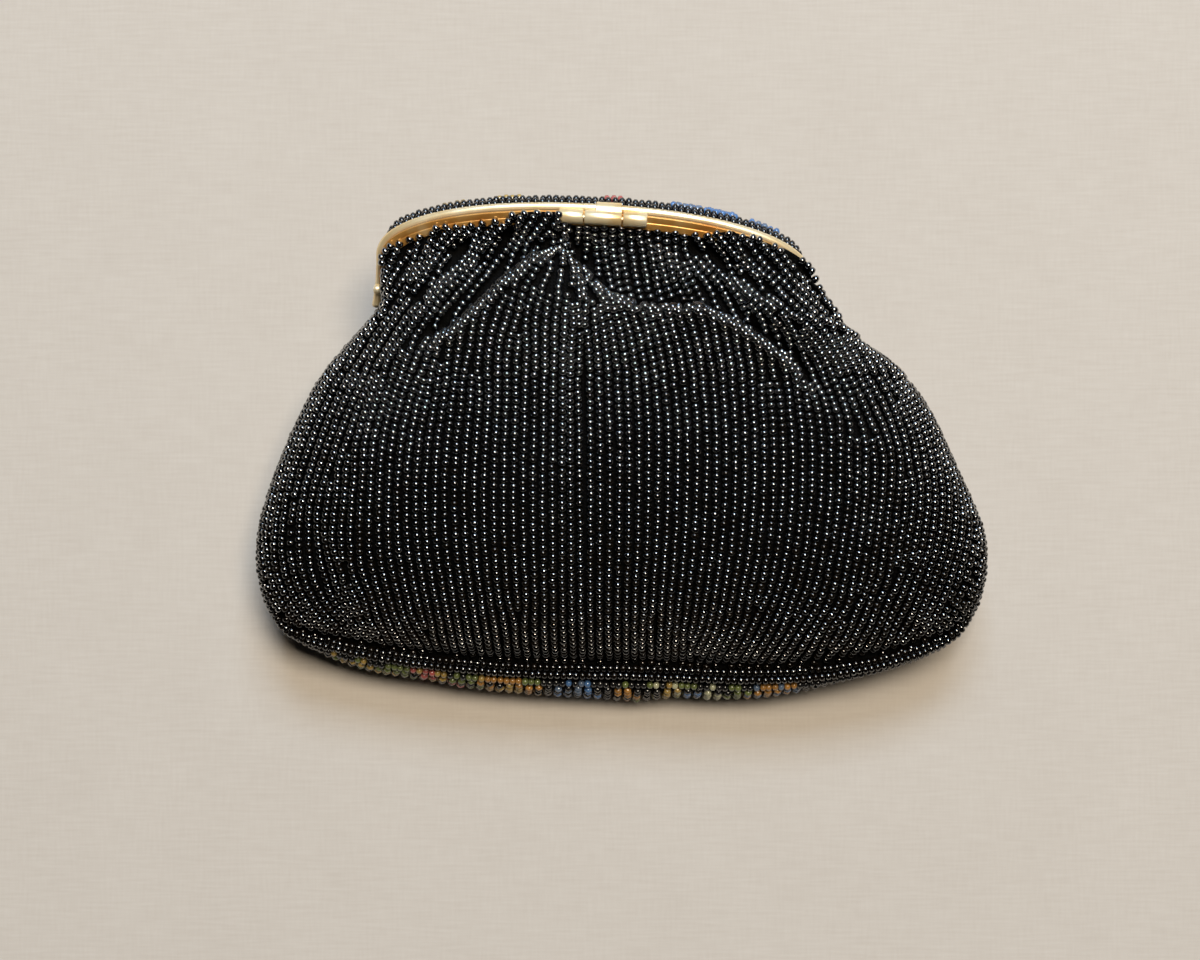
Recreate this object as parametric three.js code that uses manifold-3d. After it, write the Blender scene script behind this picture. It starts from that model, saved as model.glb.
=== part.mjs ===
// A small beaded evening purse lying on its front: two beaded cloth panels, sewn together round the
// sides and bottom, gathered into a hinged gilt frame that a hook clasp holds shut.
// Millimetres. +X is across the purse, +Y points to the mouth, +Z is up. The origin is on the surface
// that the purse lies on, under the middle of its outline.
import * as THREE from 'three';
import { mergeVertices } from 'three/addons/utils/BufferGeometryUtils.js';
import Module from 'manifold-3d';

const { degToRad, lerp, smoothstep } = THREE.MathUtils;

// Driving dimensions
const gap = 0.3; // clearance between neighbouring pieces
const wall = 2.4; // beaded cloth: ground cloth with its layer of beads

const frame = {
  halfWidth: 47.9, // from the middle of the mouth to the rod at the corner
  rise: 14.9, // height of the arch above its corners
  square: 0.92, // 1 is half an ellipse, less is squarer at the corners
  leg: 12.8, // length of the legs below the corners
  splay: 3, // how far the leg ends stand out past the corners
  tilt: 35, // degrees that the mouth is lifted from the surface
  turn: -3.1, // degrees that the mouth is turned in plan
  centre: [-6.9, 39.3, 36], // middle of the line between the two corners
  steps: 56, // facets along each half
};
const rod = { radius: 1, level: -1.2, sides: 8 };
const strip = { inset: 2.4, width: 1.8, level: 0.7, thickness: 1, leg: 8.4 };
const channel = { inset: 0.85, width: 1.7, thickness: 0.6, leg: 6 }; // thinner part of the strip by the rod
const hinge = { drop: 8, eyeRadius: 1.5, eyeThickness: 0.9, hole: 0.8, holeReach: 5, sides: 12 };
const rivet = { radius: 0.5, headRadius: 1.1, headThickness: 0.35 };
const clasp = {
  offset: 1.6, // the barrel sits a little to one side of the middle
  length: 19.4,
  middle: 8.2, // length of the moving knuckle
  radius: 1.6,
  hole: 0.85,
  holePast: 1, // how far the hole is cut past the barrel's ends
  below: 0.9, // barrel axis below the line of the rod
  level: 1.5, // barrel axis behind the middle of the frame
  sides: 14,
};
const hook = { width: 5.6, offset: 1.2, thickness: 0.5, lip: 1.3, bevel: 0.2, root: 0.2 };

// The dome of each panel. Height is measured from the middle sheet that the seam and the mouth span.
// crown is where across the panel it is highest, round is how square its shoulders are, and rise is the
// share of the length over which it swells from the mouth.
const backDome = { height: 19.5, crown: -0.16, roundAcross: 2.4, roundDown: 8, rise: 0.5 };
const frontDome = { height: 27.5, crown: 0, roundAcross: 2.2, roundDown: 5, rise: 0.42 };
// The front rolls out past the bottom seam.
const frontLip = { reach: 10.5, round: 12, from: 0.68, full: 0.93 };

// Where each panel's edge runs beside the frame, at the corner, halfway down the leg and at the leg's end:
// inset from the rod's line, and level across the frame. Below the legs both panels come to the seam.
const legDrops = [0, 6.4, 13.2];
const legEdges = {
  backLeft: [
    { inset: 3.7, level: 1.6 },
    { inset: 3.1, level: 1.6 },
    { inset: 1.6, level: 1.0 },
  ],
  backRight: [
    { inset: 3.7, level: 1.6 },
    { inset: -4.2, level: 4.8 },
    { inset: -6.2, level: 3.2 },
  ],
  frontLeft: [
    { inset: 1, level: -5.4 },
    { inset: 1, level: -5.4 },
    { inset: 1, level: -4 },
  ],
  frontRight: [
    { inset: 1, level: -5.4 },
    { inset: 1, level: -5.4 },
    { inset: 1, level: -4 },
  ],
};
const mouthEdge = {
  back: { inset: 3.7, level: 1.6, cornerBlend: 12 },
  front: { inset: -0.8, level: -5.4, cornerBlend: 12 },
};

// The seam below the legs
const seamLeft = [
  { x: -70.6, y: 15, z: 22 },
  { x: -81, y: -6, z: 19 },
  { x: -85.6, y: -25, z: 18 },
];
const seamBottom = [
  { x: -80.3, y: -42.8, z: 17.5 },
  { x: -60, y: -51.5, z: 17 },
  { x: -30, y: -55.5, z: 17 },
  { x: 3, y: -56.8, z: 17 },
  { x: 38, y: -56, z: 17 },
  { x: 64.5, y: -52.3, z: 17 },
  { x: 80.6, y: -42.3, z: 17 },
];
const seamRight = [
  { x: 85, y: -24, z: 17.5 },
  { x: 78.3, y: -6, z: 18.5 },
  { x: 66, y: 15, z: 21 },
];

// Folds of the back panel in plan: a valley from one point to another, its depth, and how wide it runs out
// on the left and on the right of its line.
const folds = [
  { from: [-42, 24], to: [-21, 46], depth: 5.0, left: 5, right: 3.4 },
  { from: [-44, 33], to: [-35, 44], depth: 2.4, left: 2.8, right: 2.8 },
  { from: [-17, 40], to: [17, 32], depth: 3.6, left: 5, right: 3 },
  { from: [15, 34], to: [37, 21], depth: 3.4, left: 4, right: 3.6 },
  { from: [37, 21], to: [52, 5], depth: 2.6, left: 4.5, right: 4 },
  { from: [17, 44], to: [31, 34], depth: 2.4, left: 3, right: 3 },
  { from: [-72, -20], to: [-66, -40], depth: 1.4, left: 4, right: 4 },
  { from: [59, -34], to: [68, -46], depth: 1.4, left: 4, right: 4 },
];
const foldLip = 0.6; // share of a fold's depth that comes back as raised lips beside it
// Folds fade out towards the mouth, the bottom seam and the sides.
const backHold = { mouth: 0.09, bottom: 0.9, sidePower: 8 };
const frontHold = { sidePower: 6 };
const gathers = { count: 8, depth: 0.8, from: 0.02, full: 0.07, fade: 0.14, gone: 0.4 };

const facets = {
  back: { across: 48, down: 28 },
  front: { across: 34, down: 20 },
  crowdAcross: 0.5, // share by which the facets crowd towards the sides
  crowdDown: 0.7, // and towards the mouth and the bottom
};
const centring = 1.5; // moves the whole purse so that its outline is centred on the origin
const normalStep = 1e-3;
const weld = 1e-4;

const gilt = { color: 0xcfa75a, roughness: 0.28, metalness: 1 };
const blackBeads = { color: 0x14141a, roughness: 0.25, metalness: 0 };

const wasm = await Module();
wasm.setup();

function toSolid(geometry) {
  const bare = geometry.clone();
  bare.deleteAttribute('normal');
  bare.deleteAttribute('uv');
  const merged = mergeVertices(bare, weld);
  return new wasm.Manifold(new wasm.Mesh({
    numProp: 3,
    vertProperties: new Float32Array(merged.attributes.position.array),
    triVerts: new Uint32Array(merged.index.array),
  }));
}

function toGeometry(solid) {
  const mesh = solid.getMesh();
  const geometry = new THREE.BufferGeometry();
  geometry.setAttribute('position', new THREE.BufferAttribute(mesh.vertProperties, 3));
  geometry.setIndex(new THREE.BufferAttribute(mesh.triVerts, 1));
  return geometry;
}

function named(name, geometry, finish) {
  const mesh = new THREE.Mesh(geometry, new THREE.MeshStandardMaterial(finish));
  mesh.name = name;
  return mesh;
}

// The frame's line in its own plane, X across and Y to the mouth: two splayed legs and a squared half
// ellipse.
class Arch extends THREE.Curve {
  constructor(inset, level, leg) {
    super();
    this.inset = inset;
    this.level = level;
    this.leg = leg;
    this.legShare = leg / (2 * leg + 2 * frame.halfWidth);
  }

  getPoint(t, target = new THREE.Vector3()) {
    const half = frame.halfWidth - this.inset;
    const fromEnd = Math.min(t, 1 - t);
    if (fromEnd < this.legShare) {
      const drop = this.leg * (1 - fromEnd / this.legShare);
      const x = half + frame.splay * (drop / frame.leg) ** 2;
      return target.set(t < 0.5 ? -x : x, -drop, this.level);
    }
    const angle = (Math.PI * (t - this.legShare)) / (1 - 2 * this.legShare);
    const rise = frame.rise - this.inset;
    const out = Math.sign(Math.cos(angle)) * Math.abs(Math.cos(angle)) ** frame.square;
    return target.set(-half * out, rise * Math.abs(Math.sin(angle)) ** frame.square, this.level);
  }
}

const frameGroup = new THREE.Group();
frameGroup.position.set(...frame.centre);
frameGroup.rotation.set(degToRad(frame.tilt), 0, degToRad(frame.turn), 'ZYX');
frameGroup.updateMatrixWorld();
const inFrame = (x, y, z) => new THREE.Vector3(x, y, z).applyMatrix4(frameGroup.matrixWorld);

const legX = (drop) => frame.halfWidth + frame.splay * (drop / frame.leg) ** 2;

// The whole seam line, from the left corner of the frame down its leg, round the purse and up again.
const toPoint = ({ x, y, z }) => new THREE.Vector3(x, y, z);
const legLine = (side) => legDrops.map((drop) => inFrame(side * legX(drop), -drop, 0));
const leftLine = [...legLine(-1), ...seamLeft.map(toPoint)];
const rightLine = [...seamRight.map(toPoint), ...legLine(1).reverse()];
const seam = new THREE.CatmullRomCurve3(
  [...leftLine, ...seamBottom.map(toPoint), ...rightLine], false, 'catmullrom', 0.5);
const seamSpans = leftLine.length + seamBottom.length + rightLine.length - 1;
const leftCorner = leftLine.length / seamSpans;
const rightCorner = 1 - rightLine.length / seamSpans;
const frameX = new THREE.Vector3(1, 0, 0).transformDirection(frameGroup.matrixWorld);
const frameZ = new THREE.Vector3(0, 0, 1).transformDirection(frameGroup.matrixWorld);

// One panel's edges: the mouth, the two sides and the bottom.
function panelEdges(mouth, leftLeg, rightLeg) {
  const beside = (point, side, rows, down, spans) => {
    const place = down * spans;
    const k = Math.floor(place);
    const meet = { inset: 0, level: 0 };
    const a = rows[k] ?? meet;
    const b = rows[k + 1] ?? meet;
    const share = smoothstep(place - k, 0, 1);
    return point
      .addScaledVector(frameX, -side * lerp(a.inset, b.inset, share))
      .addScaledVector(frameZ, lerp(a.level, b.level, share));
  };
  const left = (down) => beside(seam.getPoint(down * leftCorner), -1, leftLeg, down, leftLine.length);
  const right = (down) => beside(
    seam.getPoint(1 - down * (1 - rightCorner)), 1, rightLeg, down, rightLine.length);
  const arch = new Arch(mouth.inset, mouth.level, 0);
  const onArch = (across) => arch.getPointAt(across).applyMatrix4(frameGroup.matrixWorld);
  const leftEnd = left(0).sub(onArch(0));
  const rightEnd = right(0).sub(onArch(1));
  return {
    mouth: (across) => onArch(across)
      .addScaledVector(leftEnd, (1 - across) ** mouth.cornerBlend)
      .addScaledVector(rightEnd, across ** mouth.cornerBlend),
    left,
    right,
    bottom: (across) => seam.getPoint(lerp(leftCorner, rightCorner, across)),
  };
}

// The middle sheet: the surface that blends the four edges of a panel.
function middleSheet(edges, across, down) {
  const point = edges.mouth(across).multiplyScalar(1 - down)
    .addScaledVector(edges.bottom(across), down)
    .addScaledVector(edges.left(down), 1 - across)
    .addScaledVector(edges.right(down), across);
  return point
    .addScaledVector(edges.mouth(0), -(1 - across) * (1 - down))
    .addScaledVector(edges.mouth(1), -across * (1 - down))
    .addScaledVector(edges.bottom(0), -(1 - across) * down)
    .addScaledVector(edges.bottom(1), -across * down);
}

// Swell of a dome, 0 at the seam and 1 at its highest.
function swell(dome, across, down) {
  const u = 2 * across - 1 - dome.crown;
  const side = Math.min(1, Math.abs(u) / (u < 0 ? 1 + dome.crown : 1 - dome.crown));
  const rounding = (1 - side ** dome.roundAcross) * (1 - down ** dome.roundDown);
  return Math.sqrt(Math.max(0, rounding)) * smoothstep(down, 0, dome.rise);
}

// Depth of one fold at a point in plan: a valley with slightly raised lips, fading past its ends.
function foldDepth({ from, to, depth, left, right }, x, y) {
  const along = [to[0] - from[0], to[1] - from[1]];
  const length = Math.hypot(...along);
  const run = ((x - from[0]) * along[0] + (y - from[1]) * along[1]) / length;
  const off = ((y - from[1]) * along[0] - (x - from[0]) * along[1]) / length;
  const over = Math.max(0, -run, run - length);
  const q = (off / (off > 0 ? left : right)) ** 2 + (over / ((left + right) / 2)) ** 2;
  return depth * Math.exp(-q) * (1 - foldLip * q);
}

function gatherHeight(across, down) {
  const strength = smoothstep(down, gathers.from, gathers.full)
    * (1 - smoothstep(down, gathers.fade, gathers.gone));
  return gathers.depth * strength * Math.cos(2 * Math.PI * gathers.count * across);
}

function backSurface(edges, across, down, folded) {
  const point = middleSheet(edges, across, down);
  const lift = backDome.height * swell(backDome, across, down);
  if (folded) {
    const held = smoothstep(down, 0, backHold.mouth) * (1 - smoothstep(down, backHold.bottom, 1))
      * (1 - Math.abs(2 * across - 1) ** backHold.sidePower);
    for (const fold of folds) point.z -= held * foldDepth(fold, point.x, point.y);
    point.z += held * gatherHeight(across, down);
  }
  point.z += lift + gap / 2;
  return point;
}

function frontSurface(edges, across, down, folded) {
  const point = middleSheet(edges, across, down);
  const inner = 1 - Math.abs(2 * across - 1) ** frontHold.sidePower;
  const roll = Math.sqrt(1 - down ** frontLip.round) * smoothstep(down, frontLip.from, frontLip.full);
  point.y -= frontLip.reach * inner * roll;
  point.z -= frontDome.height * swell(frontDome, across, down) + gap / 2;
  if (folded) point.z -= inner * gatherHeight(across, down);
  point.z = Math.max(0, point.z);
  return point;
}

// A wall: the outer surface, the same surface moved inwards along the unfolded dome's normal, and its rim.
function panelWall(surface, edges, outward, { across, down }) {
  const crowded = (share, crowd) => lerp(share, 0.5 - 0.5 * Math.cos(Math.PI * share), crowd);
  const mouthAxis = new THREE.Vector3(0, 0, outward).transformDirection(frameGroup.matrixWorld);
  const normalAt = (u, v) => {
    const clampStep = (w) => [Math.max(0, w - normalStep), Math.min(1, w + normalStep)];
    const [u0, u1] = clampStep(u);
    const [v0, v1] = clampStep(v);
    const alongU = surface(edges, u1, v, false).sub(surface(edges, u0, v, false));
    const alongV = surface(edges, u, v1, false).sub(surface(edges, u, v0, false));
    return alongV.cross(alongU).normalize().multiplyScalar(outward);
  };
  const outFromSeam = (u, v) => {
    const side = u === 0 ? v * leftCorner : 1 - v * (1 - rightCorner);
    const along = seam.getTangent(v === 1 ? lerp(leftCorner, rightCorner, u) : side);
    return new THREE.Vector3(along.y, -along.x, 0).normalize();
  };
  const outwards = (u, v) => {
    if (v === 0) return mouthAxis.clone();
    return v === 1 || u === 0 || u === 1 ? outFromSeam(u, v) : normalAt(u, v);
  };
  const outer = [];
  const inner = [];
  for (let j = 0; j <= down; j++) {
    for (let i = 0; i <= across; i++) {
      const u = crowded(i / across, facets.crowdAcross);
      const v = crowded(j / down, facets.crowdDown);
      const point = surface(edges, u, v, true);
      const inside = point.clone().addScaledVector(outwards(u, v), -wall);
      const limit = middleSheet(edges, u, v).z + (outward * gap) / 2;
      const onSeam = v === 1 || ((u === 0 || u === 1) && v > 0);
      if (onSeam) inside.z = point.z;
      else if (v > 0) inside.z = outward > 0 ? Math.max(inside.z, limit) : Math.min(inside.z, limit);
      outer.push(point);
      inner.push(inside);
    }
  }
  const columns = across + 1;
  const count = outer.length;
  const faces = [];
  const quad = (a, b, c, d) => faces.push(a, b, c, a, c, d);
  for (let j = 0; j < down; j++) {
    for (let i = 0; i < across; i++) {
      const a = j * columns + i;
      quad(a, a + columns, a + columns + 1, a + 1);
      quad(count + a, count + a + 1, count + a + columns + 1, count + a + columns);
    }
  }
  const rim = [];
  for (let i = 0; i < across; i++) rim.push(i);
  for (let j = 0; j < down; j++) rim.push(j * columns + across);
  for (let i = across; i > 0; i--) rim.push(down * columns + i);
  for (let j = down; j > 0; j--) rim.push(j * columns);
  rim.forEach((a, k) => {
    const b = rim[(k + 1) % rim.length];
    quad(a, b, count + b, count + a);
  });
  if (outward < 0) faces.reverse();
  const geometry = new THREE.BufferGeometry().setFromPoints([...outer, ...inner]);
  geometry.setIndex(faces);
  return geometry;
}

// A round bar along X, from one place to another, at a place in the frame.
function barAlongX(radius, from, to, y, z, sides) {
  return new THREE.CylinderGeometry(radius, radius, to - from, sides)
    .rotateZ(Math.PI / 2).translate((from + to) / 2, y, z);
}

// A flat section of the hook or the strip: corners given as [across the frame, to the mouth].
function section(corners) {
  return new THREE.Shape(corners.map(([x, y]) => new THREE.Vector2(x, y)));
}

function roundSection(radius, sides) {
  const corners = [];
  for (let i = 0; i < sides; i++) {
    const angle = (2 * Math.PI * i) / sides;
    corners.push([radius * Math.cos(angle), radius * Math.sin(angle)]);
  }
  return section(corners);
}

const rivetHole = (side) => barAlongX(
  hinge.hole, side * frame.halfWidth - hinge.holeReach, side * frame.halfWidth + hinge.holeReach,
  -hinge.drop, 0, hinge.sides);

// A hinge eye on a leg, from one inset to another.
function hingeEye(side, nearInset, farInset) {
  const x = legX(hinge.drop);
  const ends = [side * (x - nearInset), side * (x - farInset)].sort((a, b) => a - b);
  return barAlongX(hinge.eyeRadius, ...ends, -hinge.drop, 0, hinge.sides);
}

function frontFrame() {
  const line = new Arch(0, rod.level, frame.leg);
  const sweep = new THREE.ExtrudeGeometry(
    roundSection(rod.radius, rod.sides), { steps: frame.steps, extrudePath: line });
  let solid = toSolid(sweep);
  for (const side of [-1, 1]) {
    solid = solid.add(toSolid(hingeEye(side, -rod.radius, hinge.eyeThickness / 2)));
    solid = solid.subtract(toSolid(rivetHole(side)));
  }
  return toGeometry(solid);
}

const barrel = {
  y: frame.rise - clasp.below,
  z: clasp.level,
  start: clasp.offset - clasp.length / 2,
  end: clasp.offset + clasp.length / 2,
  middleStart: clasp.offset - clasp.middle / 2,
  middleEnd: clasp.offset + clasp.middle / 2,
};
const barrelBar = (radius, from, to) => toSolid(barAlongX(radius, from, to, barrel.y, barrel.z, clasp.sides));

function backFrame() {
  const band = ({ inset, width, leg }, thickness) => toSolid(new THREE.ExtrudeGeometry(section([
    [-thickness / 2, -width / 2],
    [thickness / 2, -width / 2],
    [thickness / 2, width / 2],
    [-thickness / 2, width / 2],
  ]), { steps: frame.steps, extrudePath: new Arch(inset, strip.level, leg) }));
  let solid = band(strip, strip.thickness).add(band(channel, channel.thickness));
  const eyeInset = strip.inset - strip.width / 2;
  for (const side of [-1, 1]) {
    solid = solid.add(toSolid(hingeEye(side, eyeInset, eyeInset + hinge.eyeThickness)));
    solid = solid.subtract(toSolid(rivetHole(side)));
  }
  solid = solid
    .add(barrelBar(clasp.radius, barrel.start, barrel.middleStart - gap))
    .add(barrelBar(clasp.radius, barrel.middleEnd + gap, barrel.end));
  return toGeometry(solid
    .subtract(barrelBar(clasp.radius + gap, barrel.middleStart - gap, barrel.middleEnd + gap))
    .subtract(barrelBar(clasp.hole, barrel.start - clasp.holePast, barrel.end + clasp.holePast)));
}

// The hook runs from the top of the middle knuckle over the rod and ends in a short lip in front of it.
function claspHook() {
  const rodTop = frame.rise + rod.radius + gap;
  const rodFront = rod.level - rod.radius - gap;
  const outline = section([
    [-barrel.z, barrel.y + clasp.hole + hook.root],
    [-barrel.z, rodTop + hook.thickness],
    [-rodFront + hook.thickness - hook.bevel, rodTop + hook.thickness],
    [-rodFront + hook.thickness, rodTop + hook.thickness - hook.bevel],
    [-rodFront + hook.thickness, rodTop - hook.lip],
    [-rodFront, rodTop - hook.lip],
    [-rodFront, rodTop],
    [-rod.level - rod.radius, rodTop],
    [-barrel.z + clasp.radius, barrel.y + clasp.hole + hook.root],
  ]);
  const plate = new THREE.ExtrudeGeometry(outline, { depth: hook.width, bevelEnabled: false, steps: 1 })
    .rotateY(Math.PI / 2)
    .translate(clasp.offset + hook.offset - hook.width / 2, 0, 0);
  return toGeometry(barrelBar(clasp.radius, barrel.middleStart, barrel.middleEnd)
    .add(toSolid(plate))
    .subtract(barrelBar(clasp.hole, barrel.start, barrel.end)));
}

const claspPin = () => toGeometry(barrelBar(clasp.hole - gap, barrel.start, barrel.end));

function hingeRivet(side) {
  const x = legX(hinge.drop);
  const outside = x + rod.radius + gap;
  const inside = x - strip.inset - gap;
  const bar = (radius, from, to) => toSolid(barAlongX(
    radius, Math.min(side * from, side * to), Math.max(side * from, side * to), -hinge.drop, 0, hinge.sides));
  return toGeometry(bar(rivet.radius, inside, outside + rivet.headThickness / 2)
    .add(bar(rivet.headRadius, outside, outside + rivet.headThickness)));
}

const backEdges = panelEdges(mouthEdge.back, legEdges.backLeft, legEdges.backRight);
const frontEdges = panelEdges(mouthEdge.front, legEdges.frontLeft, legEdges.frontRight);

const purse = new THREE.Group();
purse.position.y = centring;
purse.add(named('back_panel', panelWall(backSurface, backEdges, 1, facets.back), blackBeads));
purse.add(named('front_panel', panelWall(frontSurface, frontEdges, -1, facets.front), blackBeads));
frameGroup.add(named('front_frame', frontFrame(), gilt));
frameGroup.add(named('back_frame', backFrame(), gilt));
frameGroup.add(named('hinge_rivet_left', hingeRivet(-1), gilt));
frameGroup.add(named('hinge_rivet_right', hingeRivet(1), gilt));
frameGroup.add(named('clasp_hook', claspHook(), gilt));
frameGroup.add(named('clasp_pin', claspPin(), gilt));
purse.add(frameGroup);

export default purse;
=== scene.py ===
import bpy
import numpy as np
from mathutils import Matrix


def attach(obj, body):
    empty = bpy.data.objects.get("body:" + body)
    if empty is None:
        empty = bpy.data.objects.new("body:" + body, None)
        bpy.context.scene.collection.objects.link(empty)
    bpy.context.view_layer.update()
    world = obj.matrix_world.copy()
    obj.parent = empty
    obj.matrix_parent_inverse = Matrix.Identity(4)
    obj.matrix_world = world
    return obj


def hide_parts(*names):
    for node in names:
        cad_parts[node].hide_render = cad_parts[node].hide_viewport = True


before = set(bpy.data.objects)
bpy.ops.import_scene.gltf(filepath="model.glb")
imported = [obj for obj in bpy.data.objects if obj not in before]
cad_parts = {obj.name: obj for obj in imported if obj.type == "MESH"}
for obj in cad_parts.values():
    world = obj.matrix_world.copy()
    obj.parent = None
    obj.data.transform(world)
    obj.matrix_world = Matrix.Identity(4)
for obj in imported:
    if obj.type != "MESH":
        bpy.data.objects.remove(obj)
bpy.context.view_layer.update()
mm = 0.001  # shapes are worked out in millimetres and written in metres
centring = np.array([0, 1.5, 0])  # the whole purse is moved by this, so that its outline is centred
dice = np.random.default_rng(11)


def smooth(x, low, high):
    # 0 up to low, 1 from high, and three squares less two cubes of the share between them
    t = np.clip((x - low) / (high - low), 0, 1)
    return t * t * (3 - 2 * t)


def unit(v):
    # each vector over its length
    return v / np.maximum(np.linalg.norm(v, axis=-1, keepdims=True), 1e-9)


def runAlong(line):
    # the length of a line from its start to each point
    return np.concatenate([[0], np.cumsum(np.linalg.norm(np.diff(line, axis=0), axis=1))])


def turnsOf(sides):
    # angles of equal steps round a circle
    return 2 * np.pi * np.arange(sides) / sides


def addObject(name, data, place=(0, 0, 0)):
    # an object in the scene at a place in mm
    made = bpy.data.objects.new(name, data)
    made.location = [v * mm for v in place]
    bpy.context.scene.collection.objects.link(made)
    return made


def mark(piece, name, values):
    # a number for each point
    layer = piece.data.attributes.new(name, "FLOAT", "POINT")
    layer.data.foreach_set("value", values.astype(np.float32))


def addMesh(name, points, faces, soft=True):
    # points in mm; faces is a list of integer arrays, one array for each number of corners
    mesh = bpy.data.meshes.new(name)
    points = (np.asarray(points, float).reshape(-1, 3) + centring) * mm
    mesh.vertices.add(len(points))
    mesh.vertices.foreach_set("co", points.ravel())
    corners = np.concatenate([f.ravel() for f in faces])
    sizes = np.concatenate([np.full(len(f), f.shape[1]) for f in faces])
    mesh.loops.add(len(corners))
    mesh.loops.foreach_set("vertex_index", corners.astype(np.int32))
    mesh.polygons.add(len(sizes))
    starts = np.concatenate([[0], np.cumsum(sizes)[:-1]])
    mesh.polygons.foreach_set("loop_start", starts.astype(np.int32))
    mesh.update(calc_edges=True)
    if soft:
        mesh.shade_smooth()
    return addObject(name, mesh)


def gridFaces(rows, columns, closed=False):
    # quads of a grid of points, rows by columns, closed round the columns where asked
    i, j = np.meshgrid(np.arange(rows - 1), np.arange(columns if closed else columns - 1), indexing="ij")
    k = (j + 1) % columns
    corners = [i * columns + j, (i + 1) * columns + j, (i + 1) * columns + k, i * columns + k]
    return np.stack(corners, -1).reshape(-1, 4)


def endFaces(rows, sides):
    # the first and last rings of a tube as one face each
    first = np.arange(sides)
    return np.stack([first[::-1], first + (rows - 1) * sides])


# The mouth frame's own axes: X across, Y to the mouth, Z from the front half to the back half
mouthFrame = dict(halfWidth=47.9, rise=14.9, square=0.92, leg=12.8, splay=1.2, tilt=35.0, turn=-3.1,
                  centre=(-6.9, 39.3, 36.0))


def frameTurn():
    # the tilt about X, then the turn about Z
    tilt, turn = np.radians(mouthFrame["tilt"]), np.radians(mouthFrame["turn"])
    about = np.array([[np.cos(turn), -np.sin(turn), 0], [np.sin(turn), np.cos(turn), 0], [0, 0, 1]])
    lift = np.array([[1, 0, 0], [0, np.cos(tilt), -np.sin(tilt)], [0, np.sin(tilt), np.cos(tilt)]])
    return about @ lift


frameAxes = frameTurn()
acrossFrame, throughFrame = frameAxes[:, 0], frameAxes[:, 2]


def inFrame(points):
    # points in the frame's axes, turned and moved to where the frame stands
    return np.asarray(points, float) @ frameAxes.T + np.array(mouthFrame["centre"])


def legOut(drop):
    # a leg's distance from the frame's middle: half the width, and the splay by the square of the drop
    return mouthFrame["halfWidth"] + mouthFrame["splay"] * (drop / mouthFrame["leg"]) ** 2


def archLine(t, inset, level, leg):
    # two legs that splay with the square of their drop, and a squared half ellipse between them
    half, rise = mouthFrame["halfWidth"] - inset, mouthFrame["rise"] - inset
    share = leg / (2 * leg + 2 * mouthFrame["halfWidth"])
    end = np.minimum(t, 1 - t)
    drop = leg * np.clip(1 - end / max(share, 1e-9), 0, 1)
    legX = half + mouthFrame["splay"] * (drop / mouthFrame["leg"]) ** 2
    angle = np.pi * np.clip((t - share) / (1 - 2 * share), 0, 1)
    out = np.sign(np.cos(angle)) * np.abs(np.cos(angle)) ** mouthFrame["square"]
    up = np.abs(np.sin(angle)) ** mouthFrame["square"]
    x = np.where(end < share, np.where(t < 0.5, -legX, legX), -half * out)
    y = np.where(end < share, -drop, rise * up)
    return np.stack([x, y, np.broadcast_to(level, x.shape)], -1)


archShare = np.linspace(0, 1, 801)
archSteps = np.linalg.norm(np.diff(archLine(archShare, 0, 0, 0), axis=0), axis=1)
archRun = np.concatenate([[0], np.cumsum(archSteps)]) / archSteps.sum()


def mouthLine(u, edge):
    # the arch by share of its length, let in and raised by the edge table: frame x, inset, level
    t = np.interp(u, archRun, archShare)
    x = archLine(t, 0, 0, 0)[..., 0]
    places, insets, levels = np.array(edge, float).T
    return inFrame(archLine(t, np.interp(x, places, insets), np.interp(x, places, levels), 0))


# The seam round the sides and bottom: down the left leg, round the purse and up the right leg
seamTable = dict(
    legDrops=(0, 6.4, 13.2),
    left=((-70.6, 15, 22), (-81, -6, 19), (-85.6, -25, 18)),
    bottom=((-80.3, -42.8, 17.5), (-60, -50.2, 17), (-30, -54.2, 17), (3, -55.2, 17),
            (38, -56, 17), (64.5, -51.5, 17), (80.6, -42.3, 17)),
    right=((85, -24, 17.5), (78.3, -6, 18.5), (66, 15, 21)),
)


def seamKnots():
    # down the left leg, the table's points and up the right leg
    drops = np.array(seamTable["legDrops"])
    legX = legOut(drops)
    leftLeg = inFrame(np.stack([-legX, -drops, 0 * drops], -1))
    rightLeg = inFrame(np.stack([legX, -drops, 0 * drops], -1))
    return np.vstack([leftLeg, seamTable["left"], seamTable["bottom"], seamTable["right"], rightLeg[::-1]])


knots = seamKnots()
sideSpans = 6
leftCorner, rightCorner = sideSpans / (len(knots) - 1), 1 - sideSpans / (len(knots) - 1)


def seamAt(t):
    # a cubic through the knots, with half the step between its neighbours as each knot's slope
    padded = np.vstack([2 * knots[0] - knots[1], knots, 2 * knots[-1] - knots[-2]])
    place = np.clip(t, 0, 1) * (len(knots) - 1)
    k = np.minimum(place.astype(int), len(knots) - 2)
    w = (place - k)[..., None]
    p0, p1, p2, p3 = padded[k], padded[k + 1], padded[k + 2], padded[k + 3]
    s1, s2 = (p2 - p0) / 2, (p3 - p1) / 2
    return p1 + w * (s1 + w * ((-3 * p1 + 3 * p2 - 2 * s1 - s2) + w * (2 * p1 - 2 * p2 + s1 + s2)))


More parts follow.
